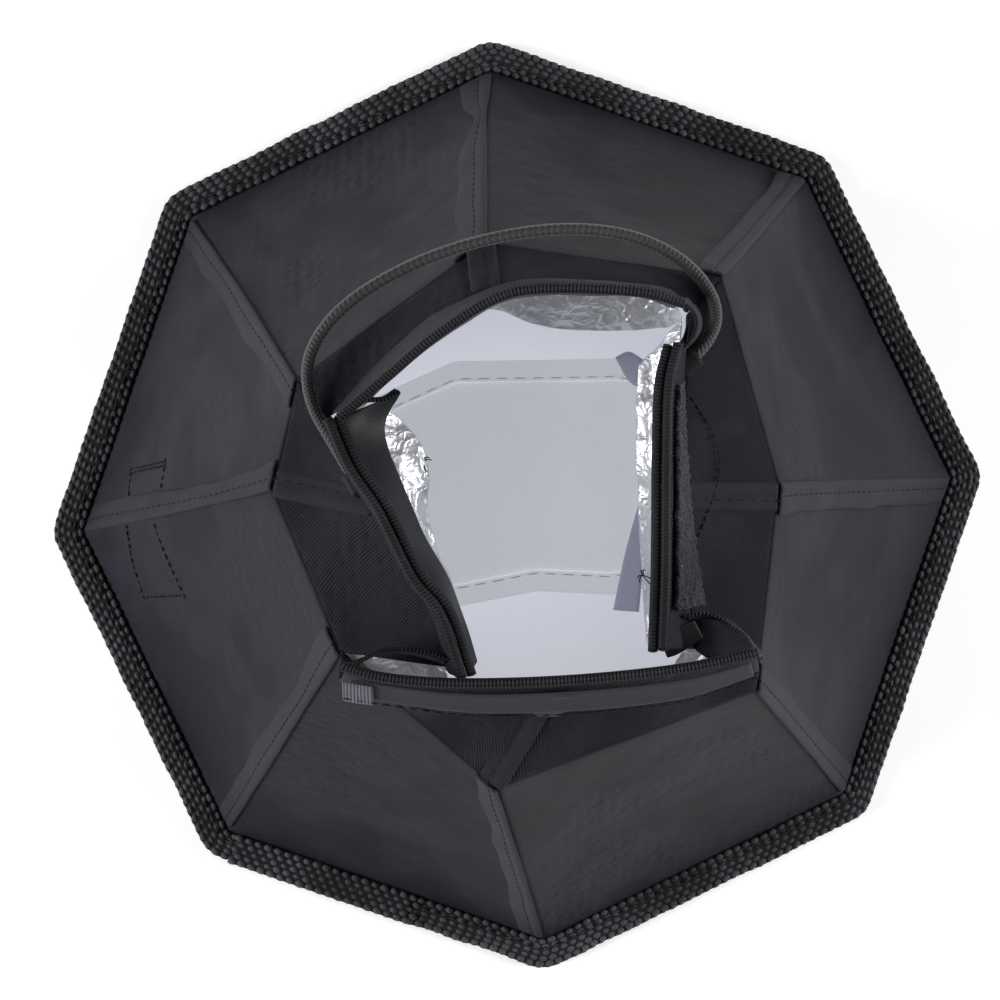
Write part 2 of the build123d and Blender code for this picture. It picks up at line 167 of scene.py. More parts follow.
class Piece:
    """Makes meshes of the object from rows of points in millimetres."""

    @staticmethod
    def from_mesh(name: str, mesh: bpy.types.Mesh) -> bpy.types.Object:
        """Link a mesh as an object at the origin and shade it smooth.

        Args:
            name: Name of the object.
            mesh: Its mesh, in metres.

        Returns:
            The new object.
        """
        obj = new_object(name, mesh)
        mesh.polygons.foreach_set("use_smooth", [True] * len(mesh.polygons))
        return obj

    @classmethod
    def grid(cls, name: str, rows: np.ndarray, centre: Point = (0.0, 0.0, 40.0)) -> bpy.types.Object:
        """Make a sheet of quads that faces away from a centre, with UV in metres of cloth.

        Args:
            name: Name of the new object.
            rows: Array of shape (rows, columns, 3), in millimetres.
            centre: Point that the faces turn away from, in millimetres.

        Returns:
            The new object.
        """
        m, n, _ = rows.shape
        facing = float(np.sum(normals(rows) * (rows - np.array(centre))))
        faces = []
        for i in range(m - 1):
            for j in range(n - 1):
                quad = [i * n + j, i * n + j + 1, (i + 1) * n + j + 1, (i + 1) * n + j]
                faces.append(quad if facing > 0 else quad[::-1])
        mesh = bpy.data.meshes.new(name)
        mesh.from_pydata((rows.reshape(-1, 3) * MM).tolist(), [], faces)
        across = np.linalg.norm(np.diff(rows, axis=1), axis=2).mean(axis=0)
        down = np.linalg.norm(np.diff(rows, axis=0), axis=2).mean(axis=1)
        u_at = np.concatenate([[0.0], np.cumsum(across)]) * MM
        v_at = np.concatenate([[0.0], np.cumsum(down)]) * MM
        places = np.stack(np.meshgrid(u_at, v_at), axis=2).reshape(-1, 2)
        corner = np.empty(len(mesh.loops), dtype=int)
        mesh.loops.foreach_get("vertex_index", corner)
        layer = mesh.uv_layers.new(name="cloth")
        layer.data.foreach_set("uv", places[corner].reshape(-1))
        mesh.update()
        return cls.from_mesh(name, mesh)

    @classmethod
    def tube(
        cls, name: str, path: np.ndarray, profile: np.ndarray, up: np.ndarray, closed: bool = False
    ) -> bpy.types.Object:
        """Sweep a closed profile along a path.

        Args:
            name: Name of the new object.
            path: Points along the path, in millimetres.
            profile: Points (side, up) round the section, in millimetres.
            up: Up direction of the section, one for all points or one for each.
            closed: The path is a loop.

        Returns:
            The new object, with its ends capped if the path is open.
        """
        total = len(path)
        ups = np.broadcast_to(up, path.shape)
        rows = []
        for i in range(total + 1 if closed else total):
            k = i % total
            ahead = path[(k + 1) % total] if closed or k + 1 < total else path[k]
            behind = path[k - 1] if closed or k > 0 else path[k]
            forward = unit(ahead - behind)
            side = unit(np.cross(forward, ups[k]))
            top = unit(np.cross(side, forward))
            ring = [path[k] + side * s + top * h for s, h in profile]
            rows.append(ring + [ring[0]])
        obj = cls.grid(name, np.array(rows))
        bm = bmesh.new()
        bm.from_mesh(obj.data)
        bmesh.ops.remove_doubles(bm, verts=bm.verts, dist=1e-6)
        edges = [edge for edge in bm.edges if edge.is_boundary]
        if edges:
            bmesh.ops.holes_fill(bm, edges=edges, sides=0)
        bmesh.ops.recalc_face_normals(bm, faces=bm.faces)
        bm.to_mesh(obj.data)
        bm.free()
        return obj

    @staticmethod
    def thicken(obj: bpy.types.Object, thickness: float, offset: float = -1.0) -> None:
        """Give a sheet its thickness in millimetres, behind its faces by default.

        Args:
            obj: The sheet.
            thickness: Thickness in millimetres.
            offset: Side it grows to: -1 behind the faces, 0 both.
        """
        wall = obj.modifiers.new("thickness", "SOLIDIFY")
        wall.thickness = thickness * MM
        wall.offset = offset

    @staticmethod
    def soften(obj: bpy.types.Object, levels: int = 1) -> None:
        """Round a coarse mesh with a subdivision surface.

        Args:
            obj: The mesh.
            levels: Number of subdivisions.
        """
        surface = obj.modifiers.new("rounding", "SUBSURF")
        surface.levels = levels
        surface.render_levels = levels

    @staticmethod
    def dress(
        obj: bpy.types.Object,
        material: bpy.types.Material,
        slot: str,
        thickness: float = 0.0,
        offset: float = -1.0,
        soft: bool = False,
    ) -> bpy.types.Object:
        """Give a piece its thickness, its rounding and its finish.

        Args:
            obj: The piece.
            material: Its finish.
            slot: Not used.
            thickness: Thickness in millimetres, or 0 for none.
            offset: Side that the thickness grows to, as for thicken.
            soft: The mesh is rounded as well.

        Returns:
            The same piece.
        """
        if thickness:
            Piece.thicken(obj, thickness, offset)
        if soft:
            Piece.soften(obj)
        obj.data.materials.clear()
        obj.data.materials.append(material)
        LOG.info("piece %s", obj.name)
        return obj


def oval(width: float, height: float, count: int = 12, square: float = 2.0) -> np.ndarray:
    """Closed profile between an oval (square 2) and a rounded box (square 4 and more).

    Args:
        width: Full width in millimetres.
        height: Full height in millimetres.
        count: Number of points.
        square: Power of the curve, 2 for an oval.

    Returns:
        Array of (side, up) points.
    """
    turns = np.linspace(0, 2 * math.pi, count, endpoint=False) + 0.01
    c, s = np.cos(turns), np.sin(turns)
    power = 2.0 / square
    return np.stack(
        [np.sign(c) * np.abs(c) ** power * width / 2, np.sign(s) * np.abs(s) ** power * height / 2], axis=1
    )


# ---------------------------------------------------------------- finishes


class Sheen(Enum):
    """How much fibre sheen a cloth shows."""

    NONE = 0.0
    LOW = 0.03
    HIGH = 0.15


class NodeSheet:
    """Small helper that adds and joins nodes in one tree."""

    def __init__(self, tree: bpy.types.NodeTree) -> None:
        """Keep the tree that the nodes go in."""
        self.tree = tree

    def add(self, kind: str, inputs: Inputs | None = None, **settings: object) -> bpy.types.Node:
        """Add a node, set its properties, and link or set its inputs.

        Args:
            kind: Type name of the node.
            inputs: Sockets or values, by the name or number of the input.
            settings: Properties to set on it.

        Returns:
            The new node.
        """
        node = self.tree.nodes.new(kind)
        for key, value in settings.items():
            setattr(node, key, value)
        for key, value in (inputs or {}).items():
            self.feed(node.inputs[key], value)
        return node

    def join(self, source: bpy.types.NodeSocket, target: bpy.types.NodeSocket) -> None:
        """Link one socket to another."""
        self.tree.links.new(source, target)

    def feed(self, target: bpy.types.NodeSocket, value: object) -> None:
        """Link a socket, or set a plain value, on an input.

        Args:
            target: Input to fill.
            value: A socket to link or a value to set.
        """
        if isinstance(value, bpy.types.NodeSocket):
            self.join(value, target)
        else:
            target.default_value = value

    def math(self, operation: str, first: object, second: object = 0.0) -> bpy.types.NodeSocket:
        """Math node on two values or sockets.

        Args:
            operation: Name of the operation.
            first: First value or socket.
            second: Second value or socket.

        Returns:
            The result's socket.
        """
        node = self.add("ShaderNodeMath", operation=operation)
        self.feed(node.inputs[0], first)
        self.feed(node.inputs[1], second)
        return node.outputs[0]

    def mix(self, share: object, first: object, second: object) -> bpy.types.NodeSocket:
        """Mix of two colours.

        Args:
            share: Share of the second colour.
            first: First colour or socket.
            second: Second colour or socket.

        Returns:
            The colour's socket.
        """
        node = self.add("ShaderNodeMix", data_type="RGBA")
        self.feed(node.inputs[0], share)
        self.feed(node.inputs[6], first)
        self.feed(node.inputs[7], second)
        return node.outputs[2]

    def spread(self, value: object, low: float, high: float) -> bpy.types.NodeSocket:
        """Map a value from low..high to 0..1.

        Args:
            value: Value or socket to map.
            low: Value that gives 0.
            high: Value that gives 1.

        Returns:
            The result's socket.
        """
        node = self.add("ShaderNodeMapRange")
        node.inputs["From Min"].default_value = low
        node.inputs["From Max"].default_value = high
        self.feed(node.inputs["Value"], value)
        return node.outputs["Result"]

    def bump(self, height: bpy.types.NodeSocket, shader: bpy.types.Node) -> None:
        """Turn a height in metres into the shader's normal.

        Args:
            height: Socket of the height.
            shader: Shader node that gets the normal.
        """
        node = self.add("ShaderNodeBump")
        node.inputs["Distance"].default_value = 1.0
        self.join(height, node.inputs["Height"])
        self.join(node.outputs["Normal"], shader.inputs["Normal"])

    def group(
        self, tree: bpy.types.NodeTree, vector: bpy.types.NodeSocket, **values: float
    ) -> bpy.types.Node:
        """Place a shared group with its own values.

        Args:
            tree: The shared group.
            vector: Coordinates to feed it.
            values: Values of its other inputs, by name.

        Returns:
            The group's node.
        """
        node = self.add("ShaderNodeGroup")
        node.node_tree = tree
        self.join(vector, node.inputs["Vector"])
        for key, value in values.items():
            node.inputs[key].default_value = value
        return node


def new_material(name: str) -> tuple[bpy.types.Material, NodeSheet, bpy.types.Node]:
    """New material with the helper of its tree and its shader node.

    Args:
        name: Name of the material.

    Returns:
        The material, its tree's helper and its shader node.
    """
    material = bpy.data.materials.new(name)
    material.use_nodes = True
    return material, NodeSheet(material.node_tree), material.node_tree.nodes["Principled BSDF"]


class Effects:
    """Shader node groups that several finishes share."""

    def __init__(self) -> None:
        """Build each group once."""
        self.twill = self.build_twill()
        self.dimples = self.build_dimples()
        self.ribs = self.build_ribs()
        self.lint = self.build_lint()
        self.crinkle = self.build_crinkle()

    @staticmethod
    def start(
        name: str, inputs: dict[str, float], outputs: Sequence[str]
    ) -> tuple[NodeSheet, bpy.types.Node, bpy.types.Node]:
        """New group with a vector input, named value inputs, and value outputs.

        Args:
            name: Name of the group.
            inputs: Name and default of each value input after Vector.
            outputs: Names of the value outputs.

        Returns:
            The tree's helper, its input node and its output node.
        """
        tree = bpy.data.node_groups.new(name, "ShaderNodeTree")
        tree.interface.new_socket(name="Vector", in_out="INPUT", socket_type="NodeSocketVector")
        for label, default in inputs.items():
            socket = tree.interface.new_socket(name=label, in_out="INPUT", socket_type="NodeSocketFloat")
            socket.default_value = default
        for label in outputs:
            tree.interface.new_socket(name=label, in_out="OUTPUT", socket_type="NodeSocketFloat")
        sheet = NodeSheet(tree)
        return sheet, sheet.add("NodeGroupInput"), sheet.add("NodeGroupOutput")

    def build_twill(self) -> bpy.types.NodeTree:
        """Fine diagonal twill: raised lines broken by the crossing threads.

        Returns:
            The group, with a Height output.
        """
        sheet, start, end = self.start("twill_weave", {"Pitch": 0.0005, "Slant": 0.9}, ["Height"])
        parts = sheet.add("ShaderNodeSeparateXYZ", {0: start.outputs["Vector"]})
        slanted = sheet.math("MULTIPLY", parts.outputs["X"], start.outputs["Slant"])
        line = sheet.math("ADD", slanted, parts.outputs["Y"])
        turn = sheet.math("DIVIDE", 2 * math.pi, start.outputs["Pitch"])
        ridge = sheet.math("SINE", sheet.math("MULTIPLY", line, turn))
        cross = sheet.math("SUBTRACT", parts.outputs["X"], parts.outputs["Y"])
        thread = sheet.math("SINE", sheet.math("MULTIPLY", cross, sheet.math("MULTIPLY", turn, 0.8)))
        total = sheet.math("ADD", ridge, sheet.math("MULTIPLY", thread, 0.35))
        sheet.join(sheet.math("MULTIPLY", total, 0.5), end.inputs["Height"])
        return sheet.tree

    def build_dimples(self) -> bpy.types.NodeTree:
        """Small dimples of the padding behind the cloth, showing through in patches.

        Returns:
            The group, with a Height output.
        """
        sheet, start, end = self.start("padding_dimples", {"Size": 0.002}, ["Height"])
        cells = sheet.add(
            "ShaderNodeTexVoronoi",
            {
                "Vector": start.outputs["Vector"],
                "Scale": sheet.math("DIVIDE", 1.0, start.outputs["Size"]),
                "Randomness": 0.45,
            },
            feature="SMOOTH_F1",
        )
        patches = sheet.add("ShaderNodeTexNoise", {"Vector": start.outputs["Vector"], "Scale": 38.0})
        mask = sheet.spread(patches.outputs[0], 0.45, 0.62)
        sheet.join(sheet.math("MULTIPLY", cells.outputs["Distance"], mask), end.inputs["Height"])
        return sheet.tree

    def build_ribs(self) -> bpy.types.NodeTree:
        """Ribs across a tape, with the fine weave between them.

        Returns:
            The group, with a Height output.
        """
        sheet, start, end = self.start("tape_ribs", {"Pitch": 0.00065, "Weave": 0.3}, ["Height"])
        parts = sheet.add("ShaderNodeSeparateXYZ", {0: start.outputs["Vector"]})
        turn = sheet.math("DIVIDE", 2 * math.pi, start.outputs["Pitch"])
        ribs = sheet.math("SINE", sheet.math("MULTIPLY", parts.outputs["X"], turn))
        weft = sheet.math("SINE", sheet.math("MULTIPLY", parts.outputs["Y"], turn))
        woven = sheet.math("MULTIPLY", weft, start.outputs["Weave"])
        sheet.join(sheet.math("ADD", ribs, woven), end.inputs["Height"])
        return sheet.tree

    def build_lint(self) -> bpy.types.NodeTree:
        """Sparse pale specks of lint, and the broad fading of the cloth.

        Returns:
            The group, with Mask and Tone outputs.
        """
        sheet, start, end = self.start("lint_and_fading", {"Amount": 0.5}, ["Mask", "Tone"])
        specks = sheet.add(
            "ShaderNodeTexNoise", {"Vector": start.outputs["Vector"], "Scale": 900.0, "Detail": 3.0}
        )
        cut = sheet.spread(specks.outputs[0], 0.70, 0.78)
        sheet.join(sheet.math("MULTIPLY", cut, start.outputs["Amount"]), end.inputs["Mask"])
        broad = sheet.add(
            "ShaderNodeTexNoise", {"Vector": start.outputs["Vector"], "Scale": 45.0, "Detail": 4.0}
        )
        sheet.join(broad.outputs[0], end.inputs["Tone"])
        return sheet.tree

    def build_crinkle(self) -> bpy.types.NodeTree:
        """Crumpled foil: random facets at two sizes.

        Returns:
            The group, with a Height output.
        """
        sheet, start, end = self.start("foil_crinkle", {"Size": 0.004}, ["Height"])
        rate = sheet.math("DIVIDE", 1.0, start.outputs["Size"])
        bend = sheet.add("ShaderNodeTexNoise", {"Vector": start.outputs["Vector"], "Scale": rate})
        shift = sheet.add(
            "ShaderNodeVectorMath", {0: bend.outputs["Color"], "Scale": 0.002}, operation="SCALE"
        )
        moved = sheet.add(
            "ShaderNodeVectorMath", {0: start.outputs["Vector"], 1: shift.outputs[0]}, operation="ADD"
        )
        folds = []
        for factor in (1.0, 2.3):
            cells = sheet.add(
                "ShaderNodeTexVoronoi",
                {
                    "Vector": moved.outputs[0],
                    "Scale": sheet.math("MULTIPLY", rate, factor),
                },
                feature="F2",
            )
            folds.append(sheet.math("DIVIDE", cells.outputs["Distance"], factor))
        sheet.join(sheet.math("ADD", folds[0], folds[1]), end.inputs["Height"])
        return sheet.tree


@dataclass(frozen=True)
class Cloth:
    """A cloth finish: its colours, gloss, the relief that it carries, and its painted glow (emission that
    stands in for light).
    """

    name: str
    dark: Colour
    light: Colour
    roughness: float
    sheen: Sheen = Sheen.NONE
    twill: float = 0.0
    twill_pitch: float = 0.00055
    ribs: float = 0.0
    rib_pitch: float = 0.00065
    dimples: float = 0.0
    dimple_size: float = 0.002
    crinkle: float = 0.0
    crinkle_size: float = 0.004
    lint: float = 0.3
    metallic: float = 0.0
    gloss: float = 0.12
    painted_glow: float = 0.0

    def build(self, effects: Effects) -> bpy.types.Material:
        """Make the material, with its weave on the piece's own cloth coordinates.

        Args:
            effects: The shared node groups.

        Returns:
            The new material.
        """
        material, sheet, shader = new_material(self.name)
        place = sheet.add("ShaderNodeTexCoord")
        cloth, solid = place.outputs["UV"], place.outputs["Object"]
        reliefs = (
            (self.twill, effects.twill, cloth, {"Pitch": self.twill_pitch}),
            (self.ribs, effects.ribs, cloth, {"Pitch": self.rib_pitch}),
            (self.dimples, effects.dimples, solid, {"Size": self.dimple_size}),
            (self.crinkle, effects.crinkle, solid, {"Size": self.crinkle_size}),
        )
        total = None
        for depth, tree, vector, values in reliefs:
            if depth:
                height = sheet.math("MULTIPLY", sheet.group(tree, vector, **values).outputs["Height"], depth)
                total = height if total is None else sheet.math("ADD", total, height)
        lint = sheet.group(effects.lint, solid, Amount=self.lint)
        shade = sheet.mix(sheet.spread(lint.outputs["Tone"], 0.3, 0.7), (*self.dark, 1), (*self.light, 1))
        if total is not None:
            deep = self.twill + self.ribs
            # Painted highlight: the crests of the twill and rib relief take a colour 1.6 times lighter than
            # the cloth, standing in for the light that catches them.
            if deep:
                lift = sheet.spread(total, -deep, deep)
                shade = sheet.mix(lift, shade, (*(min(1.0, 1.6 * c) for c in self.light), 1))
            sheet.bump(total, shader)
        dusty = sheet.mix(lint.outputs["Mask"], shade, (0.25, 0.25, 0.26, 1))
        sheet.join(dusty, shader.inputs["Base Color"])
        # Painted light: the emission makes the cloth glow though it is no lamp, standing in for light
        # through the diffusers and off the lining.
        if self.painted_glow:
            sheet.join(shade, shader.inputs["Emission Color"])
            shader.inputs["Emission Strength"].default_value = self.painted_glow
        shader.inputs["Roughness"].default_value = self.roughness
        shader.inputs["Metallic"].default_value = self.metallic
        shader.inputs["Specular IOR Level"].default_value = self.gloss
        shader.inputs["Sheen Weight"].default_value = self.sheen.value
        shader.inputs["Sheen Roughness"].default_value = 0.4
        return material


class Finishes:
    """Every finish of the softbox, built once."""

    def __init__(self) -> None:
        """Build the shared groups and all the materials."""
        effects = Effects()
        self.nylon = Cloth(
            "black_nylon", (0.0075, 0.0075, 0.0100), (0.0135, 0.014, 0.0185), 0.5, Sheen.LOW,
            gloss=0.05, twill=0.00011, dimples=0.0007, dimple_size=0.0024, lint=0.1,
        ).build(effects)
        # Painted light: the seam folds get a lighter copy of the wall nylon they are cut from, standing in
        # for the light on their raised folds.
        self.fin = Cloth(
            "seam_nylon_painted_light", (0.010, 0.010, 0.013), (0.020, 0.021, 0.027), 0.55, Sheen.LOW,
            gloss=0.06, twill=0.00009, lint=0.15,
        ).build(effects)
        self.satin = Cloth(
            "black_satin", (0.005, 0.005, 0.006), (0.010, 0.010, 0.012), 0.36, gloss=0.2,
            twill=0.00003, twill_pitch=0.0004, lint=0.2,
        ).build(effects)
        self.ribbed = Cloth(
            "ribbed_binding", (0.007, 0.007, 0.009), (0.014, 0.014, 0.017), 0.55, Sheen.LOW, lint=0.12,
        ).build(effects)
        # Painted highlight: the ribs get a lighter copy of the ribbed binding they stand on, standing in for
        # light on their crests.
        self.rib = Cloth(
            "binding_ribs_painted_highlight", (0.012, 0.012, 0.015), (0.030, 0.030, 0.035), 0.55, Sheen.LOW, lint=0.15,
        ).build(effects)
        self.webbing = Cloth(
            "rim_webbing", (0.009, 0.009, 0.010), (0.016, 0.016, 0.018), 0.7, Sheen.LOW, lint=0.3,
        ).build(effects)
        # Partly painted highlight, partly dust: the nubs are several times lighter than the webbing they are
        # woven in, for the light on their tops and the pale dust on them.
        self.nub = Cloth(
            "webbing_nubs_highlight_and_dust", (0.026, 0.026, 0.030), (0.078, 0.079, 0.088), 0.6, Sheen.HIGH, lint=0.3,
        ).build(effects)
        self.thread = Cloth(
            "black_thread", (0.004, 0.004, 0.005), (0.010, 0.010, 0.012), 0.5, lint=0.1,
        ).build(effects)
        # Painted light: the glow stands in for light coming through the inner cloth that the thread is sewn
        # on.
        self.grey_thread = Cloth(
            "grey_thread", (0.44, 0.46, 0.54), (0.50, 0.52, 0.60), 0.5, lint=0.0, painted_glow=0.18,
        ).build(effects)
        self.grey_tape = Cloth(
            "grey_tape", (0.018, 0.019, 0.023), (0.030, 0.031, 0.037), 0.6, Sheen.LOW,
            twill=0.00003, twill_pitch=0.0007, lint=0.12,
        ).build(effects)
        self.pale_tape = Cloth(
            "pale_tape_end", (0.06, 0.06, 0.075), (0.10, 0.10, 0.125), 0.6, Sheen.LOW,
            ribs=0.00006, lint=0.1,
        ).build(effects)
        self.loop = Cloth(
            "loop_pile", (0.007, 0.008, 0.012), (0.040, 0.044, 0.062), 0.85, Sheen.HIGH,
            crinkle=0.0006, crinkle_size=0.0007, lint=0.9,
        ).build(effects)
        # Painted light: the glow stands in for light that the foil lining catches; its silver colour is its
        # own.
        self.silver = Cloth(
            "silver_lining", (0.58, 0.59, 0.63), (0.76, 0.77, 0.81), 0.38, metallic=0.75, gloss=0.5,
            crinkle=0.0007, crinkle_size=0.0040, lint=0.05, painted_glow=0.09,
        ).build(effects)
        # Painted light: the glow stands in for light coming through the front cloth; its pale colour is its
        # own.
        self.front = Cloth(
            "front_cloth", (0.80, 0.82, 0.90), (0.84, 0.86, 0.94), 0.8, lint=0.0,
            twill=0.00001, twill_pitch=0.0006, painted_glow=0.26,
        ).build(effects)
        # Painted light: the glow stands in for light coming through the inner cloth; its pale colour is its
        # own.
        self.inner = Cloth(
            "inner_cloth", (0.60, 0.62, 0.70), (0.65, 0.67, 0.76), 0.75, lint=0.0,
            twill=0.00001, twill_pitch=0.0006, painted_glow=0.34,
        ).build(effects)
        # Painted shade: a darker copy of the inner cloth, with less glow, for its curled end and its corner
        # ear, standing in for the shade in these folds.
        self.inner_fold_shaded = Cloth(
            "inner_cloth_fold_painted_shade", (0.40, 0.41, 0.50), (0.46, 0.47, 0.57), 0.75, lint=0.0,
            twill=0.00001, twill_pitch=0.0006, painted_glow=0.1,
        ).build(effects)
        self.foam = Cloth(
            "wall_foam", (0.30, 0.29, 0.27), (0.42, 0.41, 0.38), 0.9,
            crinkle=0.0002, crinkle_size=0.0006, lint=0.0,
        ).build(effects)
        self.plastic = Cloth(
            "batten_plastic", (0.03, 0.03, 0.03), (0.05, 0.05, 0.05), 0.4,
            crinkle=0.00002, crinkle_size=0.001, lint=0.1,
        ).build(effects)
        self.braid = self.build_braid()

    @staticmethod
    def build_braid() -> bpy.types.Material:
        """Braided elastic: two crossing helices on the cord's own UV.

        Returns:
            The new material.
        """
        material, sheet, shader = new_material("braided_elastic")
        place = sheet.add("ShaderNodeTexCoord")
        parts = sheet.add("ShaderNodeSeparateXYZ", {0: place.outputs["UV"]})
        run = sheet.math("MULTIPLY", parts.outputs["X"], 2 * math.pi * 130)
        around = sheet.math("MULTIPLY", parts.outputs["Y"], 2 * math.pi * 5)
        one = sheet.math("SINE", sheet.math("ADD", run, around))
        two = sheet.math("SINE", sheet.math("SUBTRACT", run, around))
        braid = sheet.math("MAXIMUM", one, two)
        sheet.bump(sheet.math("MULTIPLY", braid, 0.00008), shader)
        # Painted highlight: the crests of the braid take the lighter colour, standing in for the light that
        # catches them.
        lift = sheet.spread(braid, -1.0, 1.0)
        colour = sheet.mix(lift, (0.005, 0.005, 0.006, 1), (0.018, 0.018, 0.021, 1))
        sheet.join(colour, shader.inputs["Base Color"])
        shader.inputs["Roughness"].default_value = 0.6
        shader.inputs["Sheen Weight"].default_value = 0.2
        return material


# ---------------------------------------------------------------- repeats


@dataclass(frozen=True)
class Bead:
    """Spacing and size of the beads of one kind, in millimetres."""

    pitch: float
    length: float
    width: float
    height: float
    jitter: float = 0.1


class Repeats:
    """Beads laid along lines by Geometry Nodes: nubs, stitches and ribs."""

    def __init__(self) -> None:
        """Build the tree once."""
        self.tree = self.build_beads()
        self.seed = 0

    @staticmethod
    def build_beads() -> bpy.types.NodeTree:
        """Tree that sets small rounded beads along every line, each with its own up.

        Returns:
            The tree, which ends in realized beads with their material.
        """
        tree = bpy.data.node_groups.new("beads_along_lines", "GeometryNodeTree")
        make = tree.interface.new_socket
        make(name="Geometry", in_out="INPUT", socket_type="NodeSocketGeometry")
        for label, default in (("Pitch", 0.002), ("Length", 0.002), ("Width", 0.001), ("Height", 0.001)):
            make(name=label, in_out="INPUT", socket_type="NodeSocketFloat").default_value = default
        make(name="Jitter", in_out="INPUT", socket_type="NodeSocketFloat").default_value = 0.15
        make(name="Seed", in_out="INPUT", socket_type="NodeSocketInt").default_value = 1
        make(name="Material", in_out="INPUT", socket_type="NodeSocketMaterial")
        make(name="Geometry", in_out="OUTPUT", socket_type="NodeSocketGeometry")
        sheet = NodeSheet(tree)
        start, end = sheet.add("NodeGroupInput"), sheet.add("NodeGroupOutput")
        lines = sheet.add("GeometryNodeMeshToCurve", {0: start.outputs["Geometry"]})
        points = sheet.add(
            "GeometryNodeCurveToPoints",
            {
                "Curve": lines.outputs[0],
                "Length": start.outputs["Pitch"],
            },
            mode="LENGTH",
        )
        up = sheet.add("GeometryNodeInputNamedAttribute", {"Name": "up"}, data_type="FLOAT_VECTOR")
        first = sheet.add(
            "FunctionNodeAlignRotationToVector", {"Vector": points.outputs["Tangent"]}, axis="X"
        )
        second = sheet.add(
            "FunctionNodeAlignRotationToVector",
            {
                "Rotation": first.outputs[0],
                "Vector": up.outputs[0],
            },
            axis="Z", pivot_axis="X",
        )
        bead = sheet.add("GeometryNodeMeshUVSphere", {"Segments": 6, "Rings": 4, "Radius": 0.5})
        size = sheet.add("ShaderNodeCombineXYZ")
        for k, label in enumerate(("Length", "Width", "Height")):
            sheet.join(start.outputs[label], size.inputs[k])
        change = sheet.add("FunctionNodeRandomValue", {"Seed": start.outputs["Seed"]}, data_type="FLOAT")
        low = sheet.math("SUBTRACT", 1.0, start.outputs["Jitter"])
        high = sheet.math("ADD", 1.0, start.outputs["Jitter"])
        sheet.join(low, change.inputs[2])
        sheet.join(high, change.inputs[3])
        scale = sheet.add(
            "ShaderNodeVectorMath", {0: size.outputs[0], "Scale": change.outputs[1]}, operation="SCALE"
        )
        place = sheet.add(
            "GeometryNodeInstanceOnPoints",
            {
                "Points": points.outputs["Points"],
                "Instance": bead.outputs["Mesh"],
                "Rotation": second.outputs[0],
                "Scale": scale.outputs[0],
            },
        )
        real = sheet.add("GeometryNodeRealizeInstances", {0: place.outputs[0]})
        smooth = sheet.add("GeometryNodeSetShadeSmooth", {0: real.outputs[0]})
        paint = sheet.add(
            "GeometryNodeSetMaterial",
            {
                "Geometry": smooth.outputs[0],
                "Material": start.outputs["Material"],
            },
        )
        sheet.join(paint.outputs[0], end.inputs[0])
        return tree

    def lay(
        self,
        name: str,
        lines: Sequence[np.ndarray],
        ups: Sequence[np.ndarray],
        material: bpy.types.Material,
        slot: str,
        bead: Bead,
    ) -> bpy.types.Object:
        """Lay beads along lines and return them as one plain mesh.

        Args:
            name: Name of the new piece.
            lines: Lines of points in millimetres.
            ups: For each line its up direction, one or one for each point.
            material: Finish of the beads.
            slot: The record's slot.
            bead: Spacing and size of the beads, and the share by which they differ.

        Returns:
            The new piece.
        """
        verts, edges, up_list = [], [], []
        for line, up in zip(lines, ups):
            base = len(verts)
            verts += (np.asarray(line) * MM).tolist()
            up_list.append(np.broadcast_to(up, np.shape(line)))
            edges += [(base + i, base + i + 1) for i in range(len(line) - 1)]
        mesh = bpy.data.meshes.new(name + "_lines")
        mesh.from_pydata(verts, edges, [])
        attribute = mesh.attributes.new("up", "FLOAT_VECTOR", "POINT")
        attribute.data.foreach_set("vector", np.concatenate(up_list).astype(float).reshape(-1))
        guide = new_object(name + "_guide", mesh)
        modifier = guide.modifiers.new("beads", "NODES")
        modifier.node_group = self.tree
        self.seed += 1
        values = {
            "Pitch": bead.pitch * MM, "Length": bead.length * MM, "Width": bead.width * MM,
            "Height": bead.height * MM, "Jitter": bead.jitter, "Seed": self.seed, "Material": material,
        }
        for item in self.tree.interface.items_tree:
            if item.item_type == "SOCKET" and item.in_out == "INPUT" and item.name in values:
                modifier[item.identifier] = values[item.name]
        graph = bpy.context.evaluated_depsgraph_get()
        made = bpy.data.meshes.new_from_object(guide.evaluated_get(graph), depsgraph=graph)
        guide.modifiers.clear()
        bpy.data.objects.remove(guide)
        made.name = name
        return Piece.dress(Piece.from_mesh(name, made), material, slot)


# ---------------------------------------------------------------- the object


class Side(Enum):
    """The four sides of the neck, by the name of their flap."""

    RIGHT = "right"
    TOP = "top"
    LEFT = "left"
    BOTTOM = "bottom"


SEAMS: dict[int, list[Point]] = {
    0: [(93.6, 0.0, 1.7), (70.5, 0.6, 43.0), (49.5, 1.0, 84.0)],
    1: [(66.2, 66.2, 1.7), (53.6, 53.0, 45.0), (40.8, 40.1, 88.5)],
    2: [(0.0, 93.6, 1.7), (-1.6, 79.0, 29.0), (-2.4, 64.0, 57.0), (-2.9, 49.6, 84.0)],
    3: [(-66.2, 66.2, 1.7), (-52.8, 46.5, 45.0), (-39.5, 25.6, 89.5)],
    4: [(-93.6, 0.0, 1.7), (-69.5, 2.6, 43.0), (-45.8, 5.6, 84.5)],
    5: [(-66.2, -66.2, 1.7), (-50.5, -46.0, 46.0), (-34.6, -25.4, 90.5)],
    6: [(0.0, -93.6, 1.7), (-3.4, -73.5, 43.0), (-7.2, -53.2, 83.0)],
    7: [(66.2, -66.2, 1.7), (54.6, -51.8, 45.0), (42.6, -37.4, 88.5)],
}
FIN_TURN = {0: -1, 1: 1, 2: 1, 3: 1, 4: -1, 5: -1, 6: -1, 7: 1}


@dataclass
class Part:
    """What every sub-assembly is built with."""

    finishes: Finishes
    repeats: Repeats


